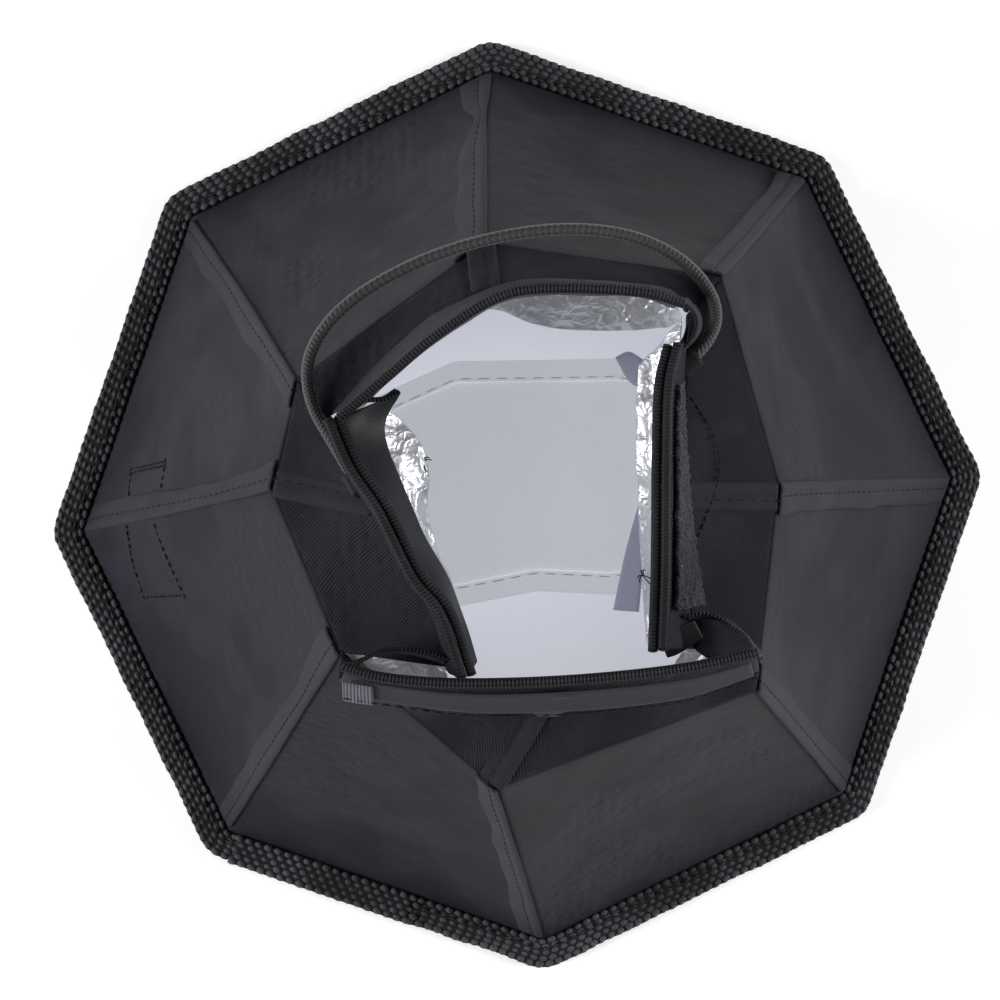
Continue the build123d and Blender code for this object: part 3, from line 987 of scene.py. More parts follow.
@dataclass
class ElasticCord(Part):
    """Braided elastic cord that loops over the top shoulder between two sewn tabs."""

    diameter: float = 0.0023
    length: float = 0.128
    route: tuple[Point, ...] = (
        (-0.0296, 0.0062, 0.0935), (-0.0334, 0.0136, 0.0929), (-0.0374, 0.0214, 0.0928),
        (-0.0374, 0.0302, 0.0938), (-0.0306, 0.0388, 0.0938), (-0.0176, 0.0458, 0.0922),
        (-0.0034, 0.0499, 0.0906), (0.0110, 0.0513, 0.0898), (0.0244, 0.0494, 0.0894),
        (0.0344, 0.0436, 0.0900), (0.0396, 0.0358, 0.0910), (0.0386, 0.0288, 0.0919),
        (0.0334, 0.0244, 0.0924),
    )

    def build(self) -> None:
        """Make the cord and its tabs, riding on the neck."""
        curve = bpy.data.curves.new("elastic_cord_line", "CURVE")
        curve.dimensions = "3D"
        curve.bevel_depth = self.diameter / 2
        curve.bevel_resolution = 4
        curve.resolution_u = 12
        curve.use_fill_caps = True
        spline = curve.splines.new("NURBS")
        spline.points.add(len(self.route) - 1)
        for point, place in zip(spline.points, self.route):
            point.co = (*place, 1.0)
        spline.order_u = 3
        spline.use_endpoint_u = True
        cord = new_object("elastic_cord_line", curve)
        Piece.dress(cord, self.finishes.braid, "elastic_rib")
        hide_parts("elastic_cord")
        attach(cord, "neck")
        self.build_tabs()

    def build_tabs(self) -> None:
        """Folded tabs that hold the cord's ends down on the shoulders."""
        route = np.array(self.route) / MM
        parts = []
        for end, after in ((route[0], route[1]), (route[-1], route[-2])):
            forward = unit(after - end)
            path = np.array([end + forward * t for t in np.linspace(-2.4, 2.0, 8)])
            parts.append(Piece.tube("cord_tab", path, oval(4.2, 3.1, 20, 3.0), UP))
        joined = merge("cord_tab_ends", parts)
        Piece.dress(joined, self.finishes.ribbed, "elastic_rib")
        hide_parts("cord_tabs")
        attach(joined, "neck")


def merge(name: str, parts: Sequence[bpy.types.Object]) -> bpy.types.Object:
    """Join meshes into one piece and remove the parts.

    Args:
        name: Name of the new piece.
        parts: Mesh objects to join.

    Returns:
        The joined object.
    """
    bm = bmesh.new()
    for part in parts:
        bm.from_mesh(part.data)
    mesh = bpy.data.meshes.new(name)
    bm.to_mesh(mesh)
    bm.free()
    for part in parts:
        bpy.data.objects.remove(part)
    return Piece.from_mesh(name, mesh)


def span(obj: bpy.types.Object) -> None:
    """Bake the place of a piece of the soft back into its mesh."""
    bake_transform(obj)


@dataclass
class RimBinding(Part):
    """Nubby webbing tape folded round the front edge."""

    width: float = 6.0
    height: float = 3.0
    apothem: float = 89.15
    corner: float = 4.4
    pitch: float = 2.1

    def path(self, inset: float = 0.0, step: float = 1.0) -> np.ndarray:
        """Points round the rim at a distance in from its middle line, with rounded corners.

        Args:
            inset: Distance in from the middle line, in millimetres.
            step: Distance between points, in millimetres.

        Returns:
            Closed line of points, with its slight waver, at Z = 0.
        """
        radius = (self.apothem - inset) / math.cos(math.pi / SIDES)
        arc = max(self.corner - inset, 0.6)
        points = []
        for k in range(SIDES):
            turn = 2 * math.pi * k / SIDES
            middle = radius - arc / math.cos(math.pi / SIDES)
            centre = np.array([middle * math.cos(turn), middle * math.sin(turn), 0.0])
            for t in np.linspace(-math.pi / SIDES, math.pi / SIDES, 5):
                points.append(centre + arc * np.array([math.cos(turn + t), math.sin(turn + t), 0.0]))
            after = 2 * math.pi * (k + 1) / SIDES
            start = points[-1]
            end = np.array([middle * math.cos(after), middle * math.sin(after), 0.0])
            back = after - math.pi / SIDES
            end = end + arc * np.array([math.cos(back), math.sin(back), 0.0])
            count = int(np.linalg.norm(end - start) / step)
            points += [start + (end - start) * i / count for i in range(1, count)]
        line = np.array(points)
        waves = np.array([ripple(p, 9.0, 3.1) for p in line])
        out = line / np.linalg.norm(line, axis=1, keepdims=True)
        return line + out * waves[:, None] * 0.35

    def build(self) -> None:
        """Make the tape, its nubs, its stitching and its lapped end."""
        path = self.path()
        path[:, 2] = RIM_LEVEL
        tape = Piece.tube("rim_tape", path, oval(self.width, self.height, 20, 3.6), UP, closed=True)
        Piece.dress(tape, self.finishes.webbing, "webbing")
        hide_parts("rim_binding")
        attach(tape, "front")
        lines, ups = [], []
        half = self.height / 2
        columns = [(o, half - 0.12, 1.0) for o in (-2.35, -1.2, 0.0, 1.2, 2.35)]
        columns += [(-2.95, 0.75, 0.0), (-3.0, -0.45, 0.0)]
        columns += [(o, -half + 0.22, -1.0) for o in (-2.35, -1.2, 0.0, 1.2, 2.35)]
        for k, (offset, rise, side) in enumerate(columns):
            line = self.path(offset, 0.7)
            line = np.concatenate([line, line[:1]])
            if k % 2:
                line = np.concatenate([line[1:], line[1:3]])
            line[:, 2] = RIM_LEVEL + rise
            out = line / np.linalg.norm(line, axis=1, keepdims=True)
            out[:, 2] = 0.0
            lines.append(line)
            ups.append(np.array((0.0, 0.0, side)) if side else out)
        nubs = self.repeats.lay(
            "rim_nubs", lines, ups, self.finishes.nub, "webbing",
            Bead(pitch=self.pitch, length=1.75, width=1.2, height=0.75, jitter=0.16),
        )
        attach(nubs, "front")
        seam = self.path(1.1, 0.7)
        seam = np.concatenate([seam, seam[:1]])
        seam[:, 2] = RIM_LEVEL + half + 0.22
        stitches = self.repeats.lay(
            "rim_stitches", [seam], [UP], self.finishes.thread, "webbing",
            Bead(pitch=3.0, length=2.3, width=0.42, height=0.4, jitter=0.05),
        )
        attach(stitches, "front")
        self.build_lap()

    def build_lap(self) -> None:
        """Second layer of tape where its end laps over its start."""
        first = np.array((-60.5, -69.2, 0.0))
        last = np.array((-27.5, -83.0, 0.0))
        turn = math.radians(247.5)
        out = np.array((math.cos(turn), math.sin(turn), 0.0))
        way = unit(last - first)
        way = unit(way - out * float(way @ out))
        middle = out * (self.apothem + 0.15)
        path = np.array([middle + way * t for t in np.linspace(-33.0, 6.5, 60)])
        path[:, 2] = LAP_LEVEL
        lap = Piece.tube(
            "rim_tape_lap", path, oval(self.width + 0.7, self.height + 0.7, 20, 3.6), UP
        )
        Piece.dress(lap, self.finishes.webbing, "webbing")
        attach(lap, "front")
        lines, ups = [], []
        for k, offset in enumerate((-2.5, -1.25, 0.0, 1.25, 2.5)):
            line = path - out * offset + way * (self.pitch / 2) * (k % 2)
            line[:, 2] = LAP_LEVEL + self.height / 2 + 0.22
            lines.append(line)
            ups.append(UP)
        line = path + out * 3.2
        lines.append(line)
        ups.append(out)
        nubs = self.repeats.lay(
            "rim_lap_nubs", lines, ups, self.finishes.nub, "webbing",
            Bead(pitch=self.pitch, length=1.75, width=1.25, height=0.75, jitter=0.16),
        )
        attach(nubs, "front")


@dataclass
class Walls(Part):
    """Eight padded walls: nylon outside, foam between, silver lining inside."""

    columns: int = 44
    rows: int = 60
    sag: float = 1.5
    cover: float = 0.5
    foam: float = 0.9
    lining: float = 0.3
    fin_width: float = 5.6

    def surface(self, side: int, shares: np.ndarray, heights: np.ndarray) -> np.ndarray:
        """Points of a wall's outer face.

        Args:
            side: Number of the wall, from 0, between seam side and the next one.
            shares: Places across the wall, 0 to 1.
            heights: Places up the wall, 0 to 1.

        Returns:
            Array of points, one row for each height.
        """
        rows = []
        inward = -wall_normal(side)
        for v in heights:
            a, b = along(SEAMS[side], v), along(SEAMS[(side + 1) % SIDES], v)
            row = []
            for u in shares:
                p = a + (b - a) * u
                across = max(4 * u * (1 - u), 0.0) ** 0.8
                bow = self.sag * across * math.sin(math.pi * min(1.0, v * 1.05)) ** 0.6
                wave = 0.9 * ripple(p, 19.0, 2.0 + side) + 0.22 * ripple(p, 5.5, 7.0 + side)
                wave += 0.35 * ripple(p * (1.0, 1.0, 0.35), 8.0, 4.0 + side)
                edge = min(1.0, 6 * u, 6 * (1 - u), 8 * v + 0.05, 8 * (1 - v) + 0.1)
                row.append(p + inward * (bow + wave * max(edge, 0.0)))
            rows.append(row)
        return np.array(rows)

    def build(self) -> None:
        """Make every layer of every wall, the fins on the seams and the stitching."""
        shares = np.linspace(0.0, 1.0, self.columns)
        heights = np.linspace(0.0, 1.0, self.rows)
        foams = []
        for side in range(SIDES):
            face = self.surface(side, shares, heights)
            out = normals(face)
            if float(np.sum(out * wall_normal(side))) < 0:
                out = -out
            cover = Piece.grid(f"wall_cover_cloth_{side + 1}", face)
            Piece.dress(cover, self.finishes.nylon, "black_nylon", self.cover)
            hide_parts(f"wall_cover_{side + 1}")
            span(cover)
            foams.append(Piece.grid("foam_sheet", face - out * 0.6))
            inner = crumple(face - out * 2.4, 0.45, 6.0, 11.0 + side)
            lining = Piece.grid(f"wall_lining_foil_{side + 1}", inner[:, ::-1])
            lining.data.flip_normals()
            Piece.dress(lining, self.finishes.silver, "silver_foil", self.lining)
            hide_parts(f"wall_lining_{side + 1}")
            span(lining)
        foam = merge("wall_foam_sheets", foams)
        Piece.dress(foam, self.finishes.foam, "foam", self.foam)
        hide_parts("wall_foam")
        span(foam)
        for seam in range(SIDES):
            self.build_fin(seam)
        self.build_wall_stitches()

    def build_fin(self, seam: int) -> None:
        """Seam allowance folded flat along one seam, with its line of stitches.

        Args:
            seam: Number of the seam, from 0.
        """
        turn = FIN_TURN[seam]
        side = seam if turn > 0 else (seam - 1) % SIDES
        heights = np.linspace(0.035, 1.0, 64)
        spots = np.array((-0.10, 0.02, 0.18, 0.36, 0.52, 0.70, 0.86, 1.0))
        lifts = np.array((0.15, 0.85, 1.0, 0.8, 0.95, 1.0, 0.95, 0.75))
        rows = []
        for k, v in enumerate(heights):
            a, b = along(SEAMS[side], v), along(SEAMS[(side + 1) % SIDES], v)
            breadth = float(np.linalg.norm(b - a))
            pinch = 1.0 + 0.20 * ripple(a, 14.0, 5.0 + seam)
            if seam == 2:
                pinch *= 1.25 - 0.75 * math.exp(-(((v - 0.30) / 0.09) ** 2))
            width = self.fin_width * pinch
            shares = np.clip(spots * width / breadth, -0.02, 1.0)
            if turn < 0:
                shares = 1.0 - shares
            row = self.surface(side, shares, np.array([v]))[0]
            out = wall_normal(side)
            lean = 0.45 * ripple(a, 10.0, 9.0 + seam)
            rows.append([p + out * (lift + lean * s) for p, lift, s in zip(row, lifts, spots)])
        grid = np.array(rows)
        fin = Piece.grid(f"seam_fin_fold_{seam + 1}", grid)
        Piece.dress(fin, self.finishes.fin, "black_nylon", 0.8, soft=True)
        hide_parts(f"seam_fin_{seam + 1}")
        span(fin)
        out = normals(grid)[:, 3]
        if float(out.mean(axis=0) @ UP) < 0:
            out = -out
        line = grid[:, 3] + out * 0.12
        stitches = self.repeats.lay(
            f"seam_stitches_{seam + 1}", [line], [out], self.finishes.thread, "black_nylon",
            Bead(pitch=2.6, length=1.9, width=0.34, height=0.3),
        )
        span(stitches)

    def on_wall(self, side: int, places: Sequence[tuple[float, float]], lift: float = 0.1) -> np.ndarray:
        """Points just above a wall, from places seen from above, in millimetres.

        Args:
            side: Number of the wall, from 0.
            places: X and Y of the points.
            lift: Height above the cloth.

        Returns:
            The points on the wall's outer face.
        """
        shares, heights = np.linspace(0, 1, 30), np.linspace(0, 1, 60)
        face = self.surface(side, shares, heights).reshape(-1, 3)
        out = wall_normal(side)
        points = []
        for x, y in places:
            distance = (face[:, 0] - x) ** 2 + (face[:, 1] - y) ** 2
            near = np.argsort(distance)[:6]
            weight = 1.0 / (distance[near] + 0.01)
            z = float((face[near, 2] * weight).sum() / weight.sum())
            points.append(np.array((x, y, z)) + out * lift)
        return np.array(points)

    def build_wall_stitches(self) -> None:
        """Box of stitches across the left seam and a curved line by the right flap."""
        upper = [(-81.0, 4.6), (-80.6, 12.4), (-71.6, 13.4), (-72.4, 8.6), (-73.6, 5.2)]
        lower = [(-81.4, 0.4), (-81.2, -7.0), (-79.6, -14.6), (-69.4, -14.4), (-72.4, -6.4), (-74.2, 0.2)]
        bar = [(-80.4, 11.6), (-71.8, 12.5)]
        lines = [
            self.on_wall(3, spread([(x, y, 0) for x, y in run], 24)[:, :2], 0.15)
            for run in (upper[:2], upper[1:3], upper[2:], bar)
        ]
        lines += [
            self.on_wall(4, spread([(x, y, 0) for x, y in run], 24)[:, :2], 0.15)
            for run in (lower[:3], lower[2:4], lower[3:])
        ]
        out = np.array((-0.9, 0.0, 0.43))
        box = self.repeats.lay(
            "wall_stitch_box", lines, [out] * len(lines), self.finishes.thread, "black_nylon",
            Bead(pitch=1.7, length=1.35, width=0.5, height=0.4),
        )
        span(box)
        arc = [(33.9, 17.6, 91.2), (37.2, 11.5, 90.2), (38.3, 5.6, 89.6), (37.2, 0.4, 90.0),
            (33.6, -7.6, 91.2)]
        curve = spread(arc, 40)
        mark = self.repeats.lay(
            "shoulder_stitch_curve", [curve], [np.array((0.3, 0.0, 0.95))], self.finishes.thread,
            "black_nylon",
            Bead(pitch=1.6, length=1.3, width=0.42, height=0.36),
        )
        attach(mark, "neck")


@dataclass
class Neck(Part):
    """Flat shoulders inside the top of the walls, their seams and the loose lining's edge."""

    feet: dict[Side, list[Point]] = field(
        default_factory=lambda: {
            Side.RIGHT: [(31.5, -29.0, 91.6), (30.4, -14.0, 92.0), (30.9, 2.0, 92.0), (32.2, 16.0, 91.8),
                (33.9, 33.6, 91.0)],
            Side.TOP: [(33.9, 33.6, 91.0), (31.0, 38.0, 91.0), (16.0, 40.6, 90.6), (-1.0, 40.8, 90.6),
                (-17.5, 33.6, 91.0), (-34.0, 18.6, 92.2)],
            Side.LEFT: [(-34.0, 18.6, 92.2), (-28.6, 5.0, 93.0), (-21.6, -9.0, 93.4),
                (-16.2, -20.0, 93.2), (-14.6, -29.5, 92.2)],
            Side.BOTTOM: [(-35.6, -30.6, 91.0), (-18.0, -37.4, 90.6), (3.0, -39.4, 90.2),
                (24.0, -38.2, 90.4), (43.4, -33.6, 90.6)],
        }
    )
    drops: dict[Side, list[Point]] = field(
        default_factory=lambda: {
            Side.RIGHT: [(22.6, -27.5, 84.0), (22.8, -10.0, 82.0), (23.0, 8.0, 84.0), (24.5, 25.0, 85.0)],
            Side.TOP: [(30.5, 31.2, 85.0), (15.0, 31.8, 83.0), (5.0, 33.6, 84.0), (-3.0, 37.2, 87.0),
                (-17.5, 32.6, 88.0), (-31.0, 20.4, 89.0)],
            Side.LEFT: [(-24.0, 19.5, 88.0), (-20.1, 16.7, 86.0), (-16.6, 9.5, 85.0), (-16.8, -2.7, 84.0),
                (-14.8, -9.5, 84.0), (-12.6, -16.0, 84.0), (-12.0, -28.0, 86.0)],
            Side.BOTTOM: [(-32.0, -27.6, 87.0), (-24.0, -31.5, 86.5), (-10.0, -35.8, 87.0),
                (24.0, -35.6, 87.0), (35.0, -29.0, 87.0), (41.5, -30.5, 88.0)],
        }
    )
    order: dict[Side, tuple[int, int, int]] = field(
        default_factory=lambda: {
            Side.RIGHT: (7, 0, 1), Side.TOP: (1, 2, 3), Side.LEFT: (3, 4, 5), Side.BOTTOM: (5, 6, 7)
        }
    )

    def top_edge(self, side: Side) -> np.ndarray:
        """Edge where a shoulder meets its two walls, from corner to kink to corner.

        Args:
            side: Side of the neck.

        Returns:
            Points of the edge.
        """
        first, middle, last = (np.array(SEAMS[k][-1]) for k in self.order[side])
        one, two = spread([tuple(first), tuple(middle)], 21), spread([tuple(middle), tuple(last)], 21)
        return np.concatenate([one, two[1:]])

    def build(self) -> None:
        """Make the shoulders, their seam allowances and the lining's loose edge."""
        for side in Side:
            outer = self.top_edge(side)
            inner = spread(self.feet[side], len(outer))
            rows = loft(outer, inner, 18)
            rows[1:-1] = crumple(rows, 0.5, 11.0, 21.0)[1:-1]
            shoulder = Piece.grid(f"shoulder_cloth_{side.value}", rows)
            Piece.dress(shoulder, self.finishes.nylon, "black_nylon", 1.0, soft=True)
            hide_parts(f"shoulder_{side.value}")
            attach(shoulder, "neck")
            self.build_fin(side, rows)
            self.build_drop(side, inner)
        self.build_corner_foil()

    def build_corner_foil(self) -> None:
        """Silver lining that shows in the gaps at the two lower corners."""
        patches = {
            "left": ([(-34.0, -26.4, 89.4), (-24.0, -27.4, 88.8), (-14.8, -28.6, 89.6)],
                     [(-34.4, -30.4, 87.6), (-24.0, -33.0, 86.0), (-15.0, -35.4, 86.6)]),
            "right": ([(42.4, -33.6, 88.6), (37.0, -28.6, 88.0), (31.4, -26.6, 89.8)],
                      [(40.0, -35.6, 87.4), (33.0, -34.2, 86.0), (25.0, -34.8, 85.4)]),
        }
        for name, (first, last) in patches.items():
            rows = loft(spread(first, 30), spread(last, 30), 14)
            rows = crumple(crumple(rows, 0.8, 5.0, 45.0), 0.3, 2.2, 47.0)
            foil = Piece.grid(f"corner_lining_{name}", rows)
            Piece.dress(foil, self.finishes.silver, "silver_foil", 0.25, soft=True)
            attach(foil, "neck")

    def build_fin(self, side: Side, rows: np.ndarray) -> None:
        """Seam allowance that goes on from the kink over the shoulder to the flap.

        Args:
            side: Side of the neck.
            rows: Grid of the shoulder's points.
        """
        middle = rows[:, 20]
        if side is Side.BOTTOM:
            middle = loft(middle[:1], np.array([(2.4, -38.8, 90.4)]), len(middle))[:, 0]
        if side is Side.LEFT:
            middle = loft(middle[:1], np.array([(-27.0, 0.6, 93.2)]), len(middle))[:, 0]
        forward = unit(middle[-1] - middle[0])
        aside = unit(np.cross(forward, UP))
        shift = {Side.RIGHT: -2.6, Side.TOP: 1.0, Side.LEFT: -1.6, Side.BOTTOM: -1.4}[side]
        grid = []
        for k, point in enumerate(middle):
            base = point + aside * shift
            rise = 0.8 + 0.25 * ripple(point, 6.0, 33.0)
            grid.append(
                [base + aside * o + np.array((0.0, 0.0, rise * h)) for o, h in
                 ((-3.0, 0.5), (-1.8, 1.1), (-0.6, 0.5), (0.6, 1.15), (1.8, 1.1), (3.0, 0.5))]
            )
        grid = np.array(grid)
        fin = Piece.grid(f"shoulder_fin_fold_{side.value}", grid)
        Piece.dress(fin, self.finishes.fin, "black_nylon", 0.8, soft=True)
        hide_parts(f"shoulder_fin_{side.value}")
        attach(fin, "neck")
        line = grid[:, 2] + np.array((0.0, 0.0, 0.15))
        stitches = self.repeats.lay(
            f"shoulder_stitches_{side.value}", [line], [UP], self.finishes.thread, "black_nylon",
            Bead(pitch=2.4, length=1.8, width=0.34, height=0.3),
        )
        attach(stitches, "neck")

    def build_drop(self, side: Side, inner: np.ndarray) -> None:
        """Loose crinkled edge of the silver lining that hangs inside the neck.

        Args:
            side: Side of the neck.
            inner: Inner edge of the shoulder.
        """
        start = inner - np.array((0.0, 0.0, 1.4))
        start[:, :2] *= 0.975
        rows = loft(start, spread(self.drops[side], len(inner)), 22)
        rows = crumple(crumple(rows, 0.9, 7.0, 41.0), 0.35, 2.6, 43.0)
        drop = Piece.grid(f"neck_lining_{side.value}", rows)
        drop.data.flip_normals()
        Piece.dress(drop, self.finishes.silver, "silver_foil", 0.25, soft=True)
        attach(drop, "neck")


@dataclass
class Flap(Part):
    """One flap of the collar: nylon outside, satin facing inside, ribbed tape on its edge."""

    side: Side
    foot: list[Point]
    edge: list[Point]
    facing: list[Point]
    second: bool = False
    band: float = 1.9

    def hinge(self, obj: bpy.types.Object) -> None:
        """Bake the place of a piece of the flap into its mesh.

        Args:
            obj: The piece.
        """
        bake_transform(obj)

    def build(self) -> None:
        """Make the cover, the facing, and the ribbed tape with its ribs."""
        foot, edge = spread(self.foot, 49), spread(self.edge, 49)
        outward = foot.mean(axis=0)
        outward[2] = 0.0
        outward = unit(outward)
        foot = foot - np.array((0.0, 0.0, 1.6)) + outward * 0.3
        rows = loft(foot, edge, 22)
        swell = np.sin(np.linspace(0, math.pi, 22))[:, None, None] * 0.7
        rows = crumple(rows + outward * swell, 0.4, 9.0, 51.0)
        rows[0], rows[-1] = foot, edge
        cover = Piece.grid(f"flap_cloth_{self.side.value}", rows, COLLAR_MIDDLE)
        Piece.dress(cover, self.finishes.nylon, "black_nylon", 0.6, soft=True)
        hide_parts(f"flap_cover_{self.side.value}")
        self.hinge(cover)
        inner = spread(self.facing, 49)
        back = loft(edge - outward * (2.2 if self.second else 1.0) - (0, 0, 0.6), inner, 20)
        back[1:] = crumple(back, 0.45, 8.0, 61.0)[1:]
        behind = tuple(edge.mean(axis=0) + outward * 40 - (0, 0, 30))
        facing = Piece.grid(f"flap_facing_cloth_{self.side.value}", back, behind)
        Piece.dress(facing, self.finishes.satin, "black_satin", 0.4, soft=True)
        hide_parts(f"flap_facing_{self.side.value}")
        self.hinge(facing)
        centre = edge - outward * 0.45
        tape = Piece.tube(
            f"flap_tape_{self.side.value}", centre, oval(self.band, 2.4, 16, 2.6), UP
        )
        Piece.dress(tape, self.finishes.ribbed, "elastic_rib")
        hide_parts(f"flap_binding_{self.side.value}")
        self.hinge(tape)
        lines, ups = [centre + (0, 0, 1.12)], [UP]
        lines.append(centre + outward * (self.band / 2 + 0.02) + (0, 0, -0.1))
        ups.append(outward)
        if self.second:
            low = edge - outward * 2.3 - (0, 0, 0.5)
            under = Piece.tube(
                f"flap_inner_tape_{self.side.value}", low, oval(1.8, 2.0, 16, 2.6), UP
            )
            Piece.dress(under, self.finishes.ribbed, "elastic_rib")
            self.hinge(under)
            lines.append(low + (0, 0, 0.93))
            ups.append(UP)
        ribs = self.repeats.lay(
            f"flap_ribs_{self.side.value}", lines, ups, self.finishes.rib, "elastic_rib",
            Bead(pitch=0.68, length=0.54, width=1.7, height=0.5, jitter=0.08),
        )
        self.hinge(ribs)


@dataclass
class Collar(Part):
    """The four flaps with their trims and the elastic tapes between them."""

    flaps: dict[Side, Flap] = field(default_factory=dict)

    def build(self, neck: Neck) -> None:
        """Make every flap, its trims and the corner elastics.

        Args:
            neck: The neck, for the lines that the flaps stand on.
        """
        edges = {
            Side.RIGHT: [(25.4, -28.0, 103.0), (26.8, -12.0, 105.3), (28.2, 8.0, 105.5),
                (29.4, 20.0, 104.5), (31.6, 27.5, 102.0)],
            Side.TOP: [(32.6, 35.4, 102.0), (24.5, 37.8, 104.4), (8.0, 39.4, 105.0), (-1.5, 38.2, 105.0),
                (-13.0, 32.0, 104.6), (-22.0, 25.4, 104.0), (-31.4, 18.4, 102.4)],
            Side.LEFT: [(-34.0, 17.6, 101.5), (-30.6, 8.6, 103.6), (-25.8, 0.4, 104.6),
                (-20.4, -12.0, 104.8), (-15.6, -19.0, 104.4), (-12.4, -31.0, 102.0)],
            Side.BOTTOM: [(-33.4, -28.0, 102.4), (-26.0, -30.4, 103.6), (-12.0, -32.2, 104.6),
                (8.0, -32.8, 104.8), (28.0, -32.0, 104.4), (42.2, -30.0, 102.4)],
        }
        facings = {
            Side.RIGHT: [(24.6, -27.6, 92.0), (25.6, -12.0, 92.0), (26.8, 8.0, 92.0), (28.0, 20.0, 92.0),
                (30.0, 27.0, 92.0)],
            Side.TOP: [(31.4, 34.4, 92.0), (23.5, 37.4, 92.0), (8.0, 38.6, 92.0), (-1.5, 37.4, 92.0),
                (-12.6, 31.4, 92.0), (-21.4, 24.8, 92.0), (-30.4, 17.8, 92.0)],
            Side.LEFT: [(-20.0, 22.0, 97.0), (-23.4, 15.6, 96.0), (-21.0, 6.0, 95.5), (-18.2, -2.4, 95.5),
                (-12.9, -13.8, 96.0), (-10.0, -23.8, 97.0), (-8.8, -28.4, 97.5)],
            Side.BOTTOM: [(-33.4, -28.6, 92.0), (-26.0, -32.0, 92.0), (-12.0, -34.2, 92.0),
                (8.0, -35.0, 92.0), (28.0, -34.2, 92.0), (41.0, -31.0, 92.0)],
        }
        for side in Side:
            flap = Flap(
                self.finishes, self.repeats, side, neck.feet[side], edges[side], facings[side],
                second=side in (Side.RIGHT, Side.LEFT)
            )
            self.flaps[side] = flap
            flap.build()
        self.build_flap_end()
        self.build_loop_strip()
        self.build_hem()
        self.build_corners()

    def strip(
        self, name: str, top: Line, bottom: Line, thickness: float, flap: Flap, rows: int = 10,
        count: int = 60
    ) -> bpy.types.Object:
        """Strip of tape between two lines on a flap's outside.

        Args:
            name: Name of the new piece.
            top: Upper line.
            bottom: Lower line.
            thickness: Thickness in millimetres.
            flap: Flap that carries it.
            rows: Points across the strip.
            count: Points along the strip.

        Returns:
            The new piece.
        """
        grid = loft(spread(top, count), spread(bottom, count), rows)
        piece = Piece.grid(name, grid, COLLAR_MIDDLE)
        Piece.thicken(piece, thickness)
        Piece.soften(piece)
        flap.hinge(piece)
        return piece

    def build_flap_end(self) -> None:
        """Raw lower end of the right flap, where its facing shows past the tapes."""
        flap = self.flaps[Side.RIGHT]
        first = spread([(24.0, -24.0, 98.4), (26.8, -24.4, 98.8), (31.4, -23.2, 98.4)], 16)
        last = spread([(25.9, -30.0, 96.8), (28.4, -29.2, 97.2), (32.9, -26.6, 97.2)], 16)
        end = Piece.grid("flap_end_fold", loft(first, last, 10), (28.0, -26.0, 60.0))
        Piece.dress(end, self.finishes.satin, "black_satin", 0.5, soft=True)
        flap.hinge(end)

    def build_loop_strip(self) -> None:
        """Fuzzy loop strip on the outside of the right flap, with frayed edges."""
        flap = self.flaps[Side.RIGHT]
        top = [(28.2, -21.0, 103.2), (29.2, -8.0, 103.8), (30.2, 8.0, 103.8), (31.0, 20.0, 103.2)]
        bottom = [(33.8, -20.5, 94.2), (32.6, -8.0, 94.4), (32.2, 8.0, 94.4), (32.4, 21.0, 94.2)]
        grid = loft(spread(top, 180), spread(bottom, 180), 36)
        grid = crumple(crumple(grid, 0.35, 1.1, 71.0), 0.4, 0.6, 73.0)
        piece = Piece.grid("loop_pile_strip", grid, COLLAR_MIDDLE)
        Piece.dress(piece, self.finishes.loop, "loop_pile", 0.8)
        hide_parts("loop_strip")
        flap.hinge(piece)

    def build_hem(self) -> None:
        """Grey tape along the outside of the bottom flap, with a pale folded end."""
        flap = self.flaps[Side.BOTTOM]
        top = [(-32.6, -30.3, 101.8), (-12.0, -34.0, 103.4), (8.0, -34.8, 103.6), (28.0, -34.0, 103.2),
            (41.0, -31.6, 101.8)]
        low = [(-33.4, -33.4, 97.4), (-12.0, -37.6, 98.6), (8.0, -38.6, 98.6), (28.0, -37.6, 98.4),
            (41.8, -34.2, 97.8)]
        tape = self.strip("hem_tape_band", top, low, 0.5, flap)
        Piece.dress(tape, self.finishes.grey_tape, "grey_tape")
        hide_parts("hem_tape")
        edge = spread(low, 60) + np.array((0.0, -0.35, 0.7))
        line = self.repeats.lay(
            "hem_stitches", [edge], [np.array((0.0, -0.7, 0.7))], self.finishes.thread, "grey_tape",
            Bead(pitch=2.4, length=1.9, width=0.4, height=0.35),
        )
        flap.hinge(line)
        end_top = [(-34.0, -30.6, 101.9), (-31.4, -31.2, 102.2), (-28.4, -31.9, 102.5)]
        end_low = [(-34.4, -34.2, 97.0), (-31.6, -34.9, 97.3), (-28.6, -35.4, 97.6)]
        patch = self.strip("hem_tape_end", end_top, end_low, 0.7, flap, 8, 12)
        Piece.dress(patch, self.finishes.pale_tape, "grey_tape")
        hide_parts("hem_patch")
        over_top = [(3.2, -35.2, 103.4), (6.4, -35.4, 103.4), (8.6, -35.4, 103.4)]
        over_low = [(0.4, -39.6, 92.0), (3.4, -39.9, 92.0), (5.8, -39.9, 92.0)]
        over = self.strip("hem_seam_tape", over_top, over_low, 0.6, flap, 10, 12)
        Piece.dress(over, self.finishes.grey_tape, "grey_tape")

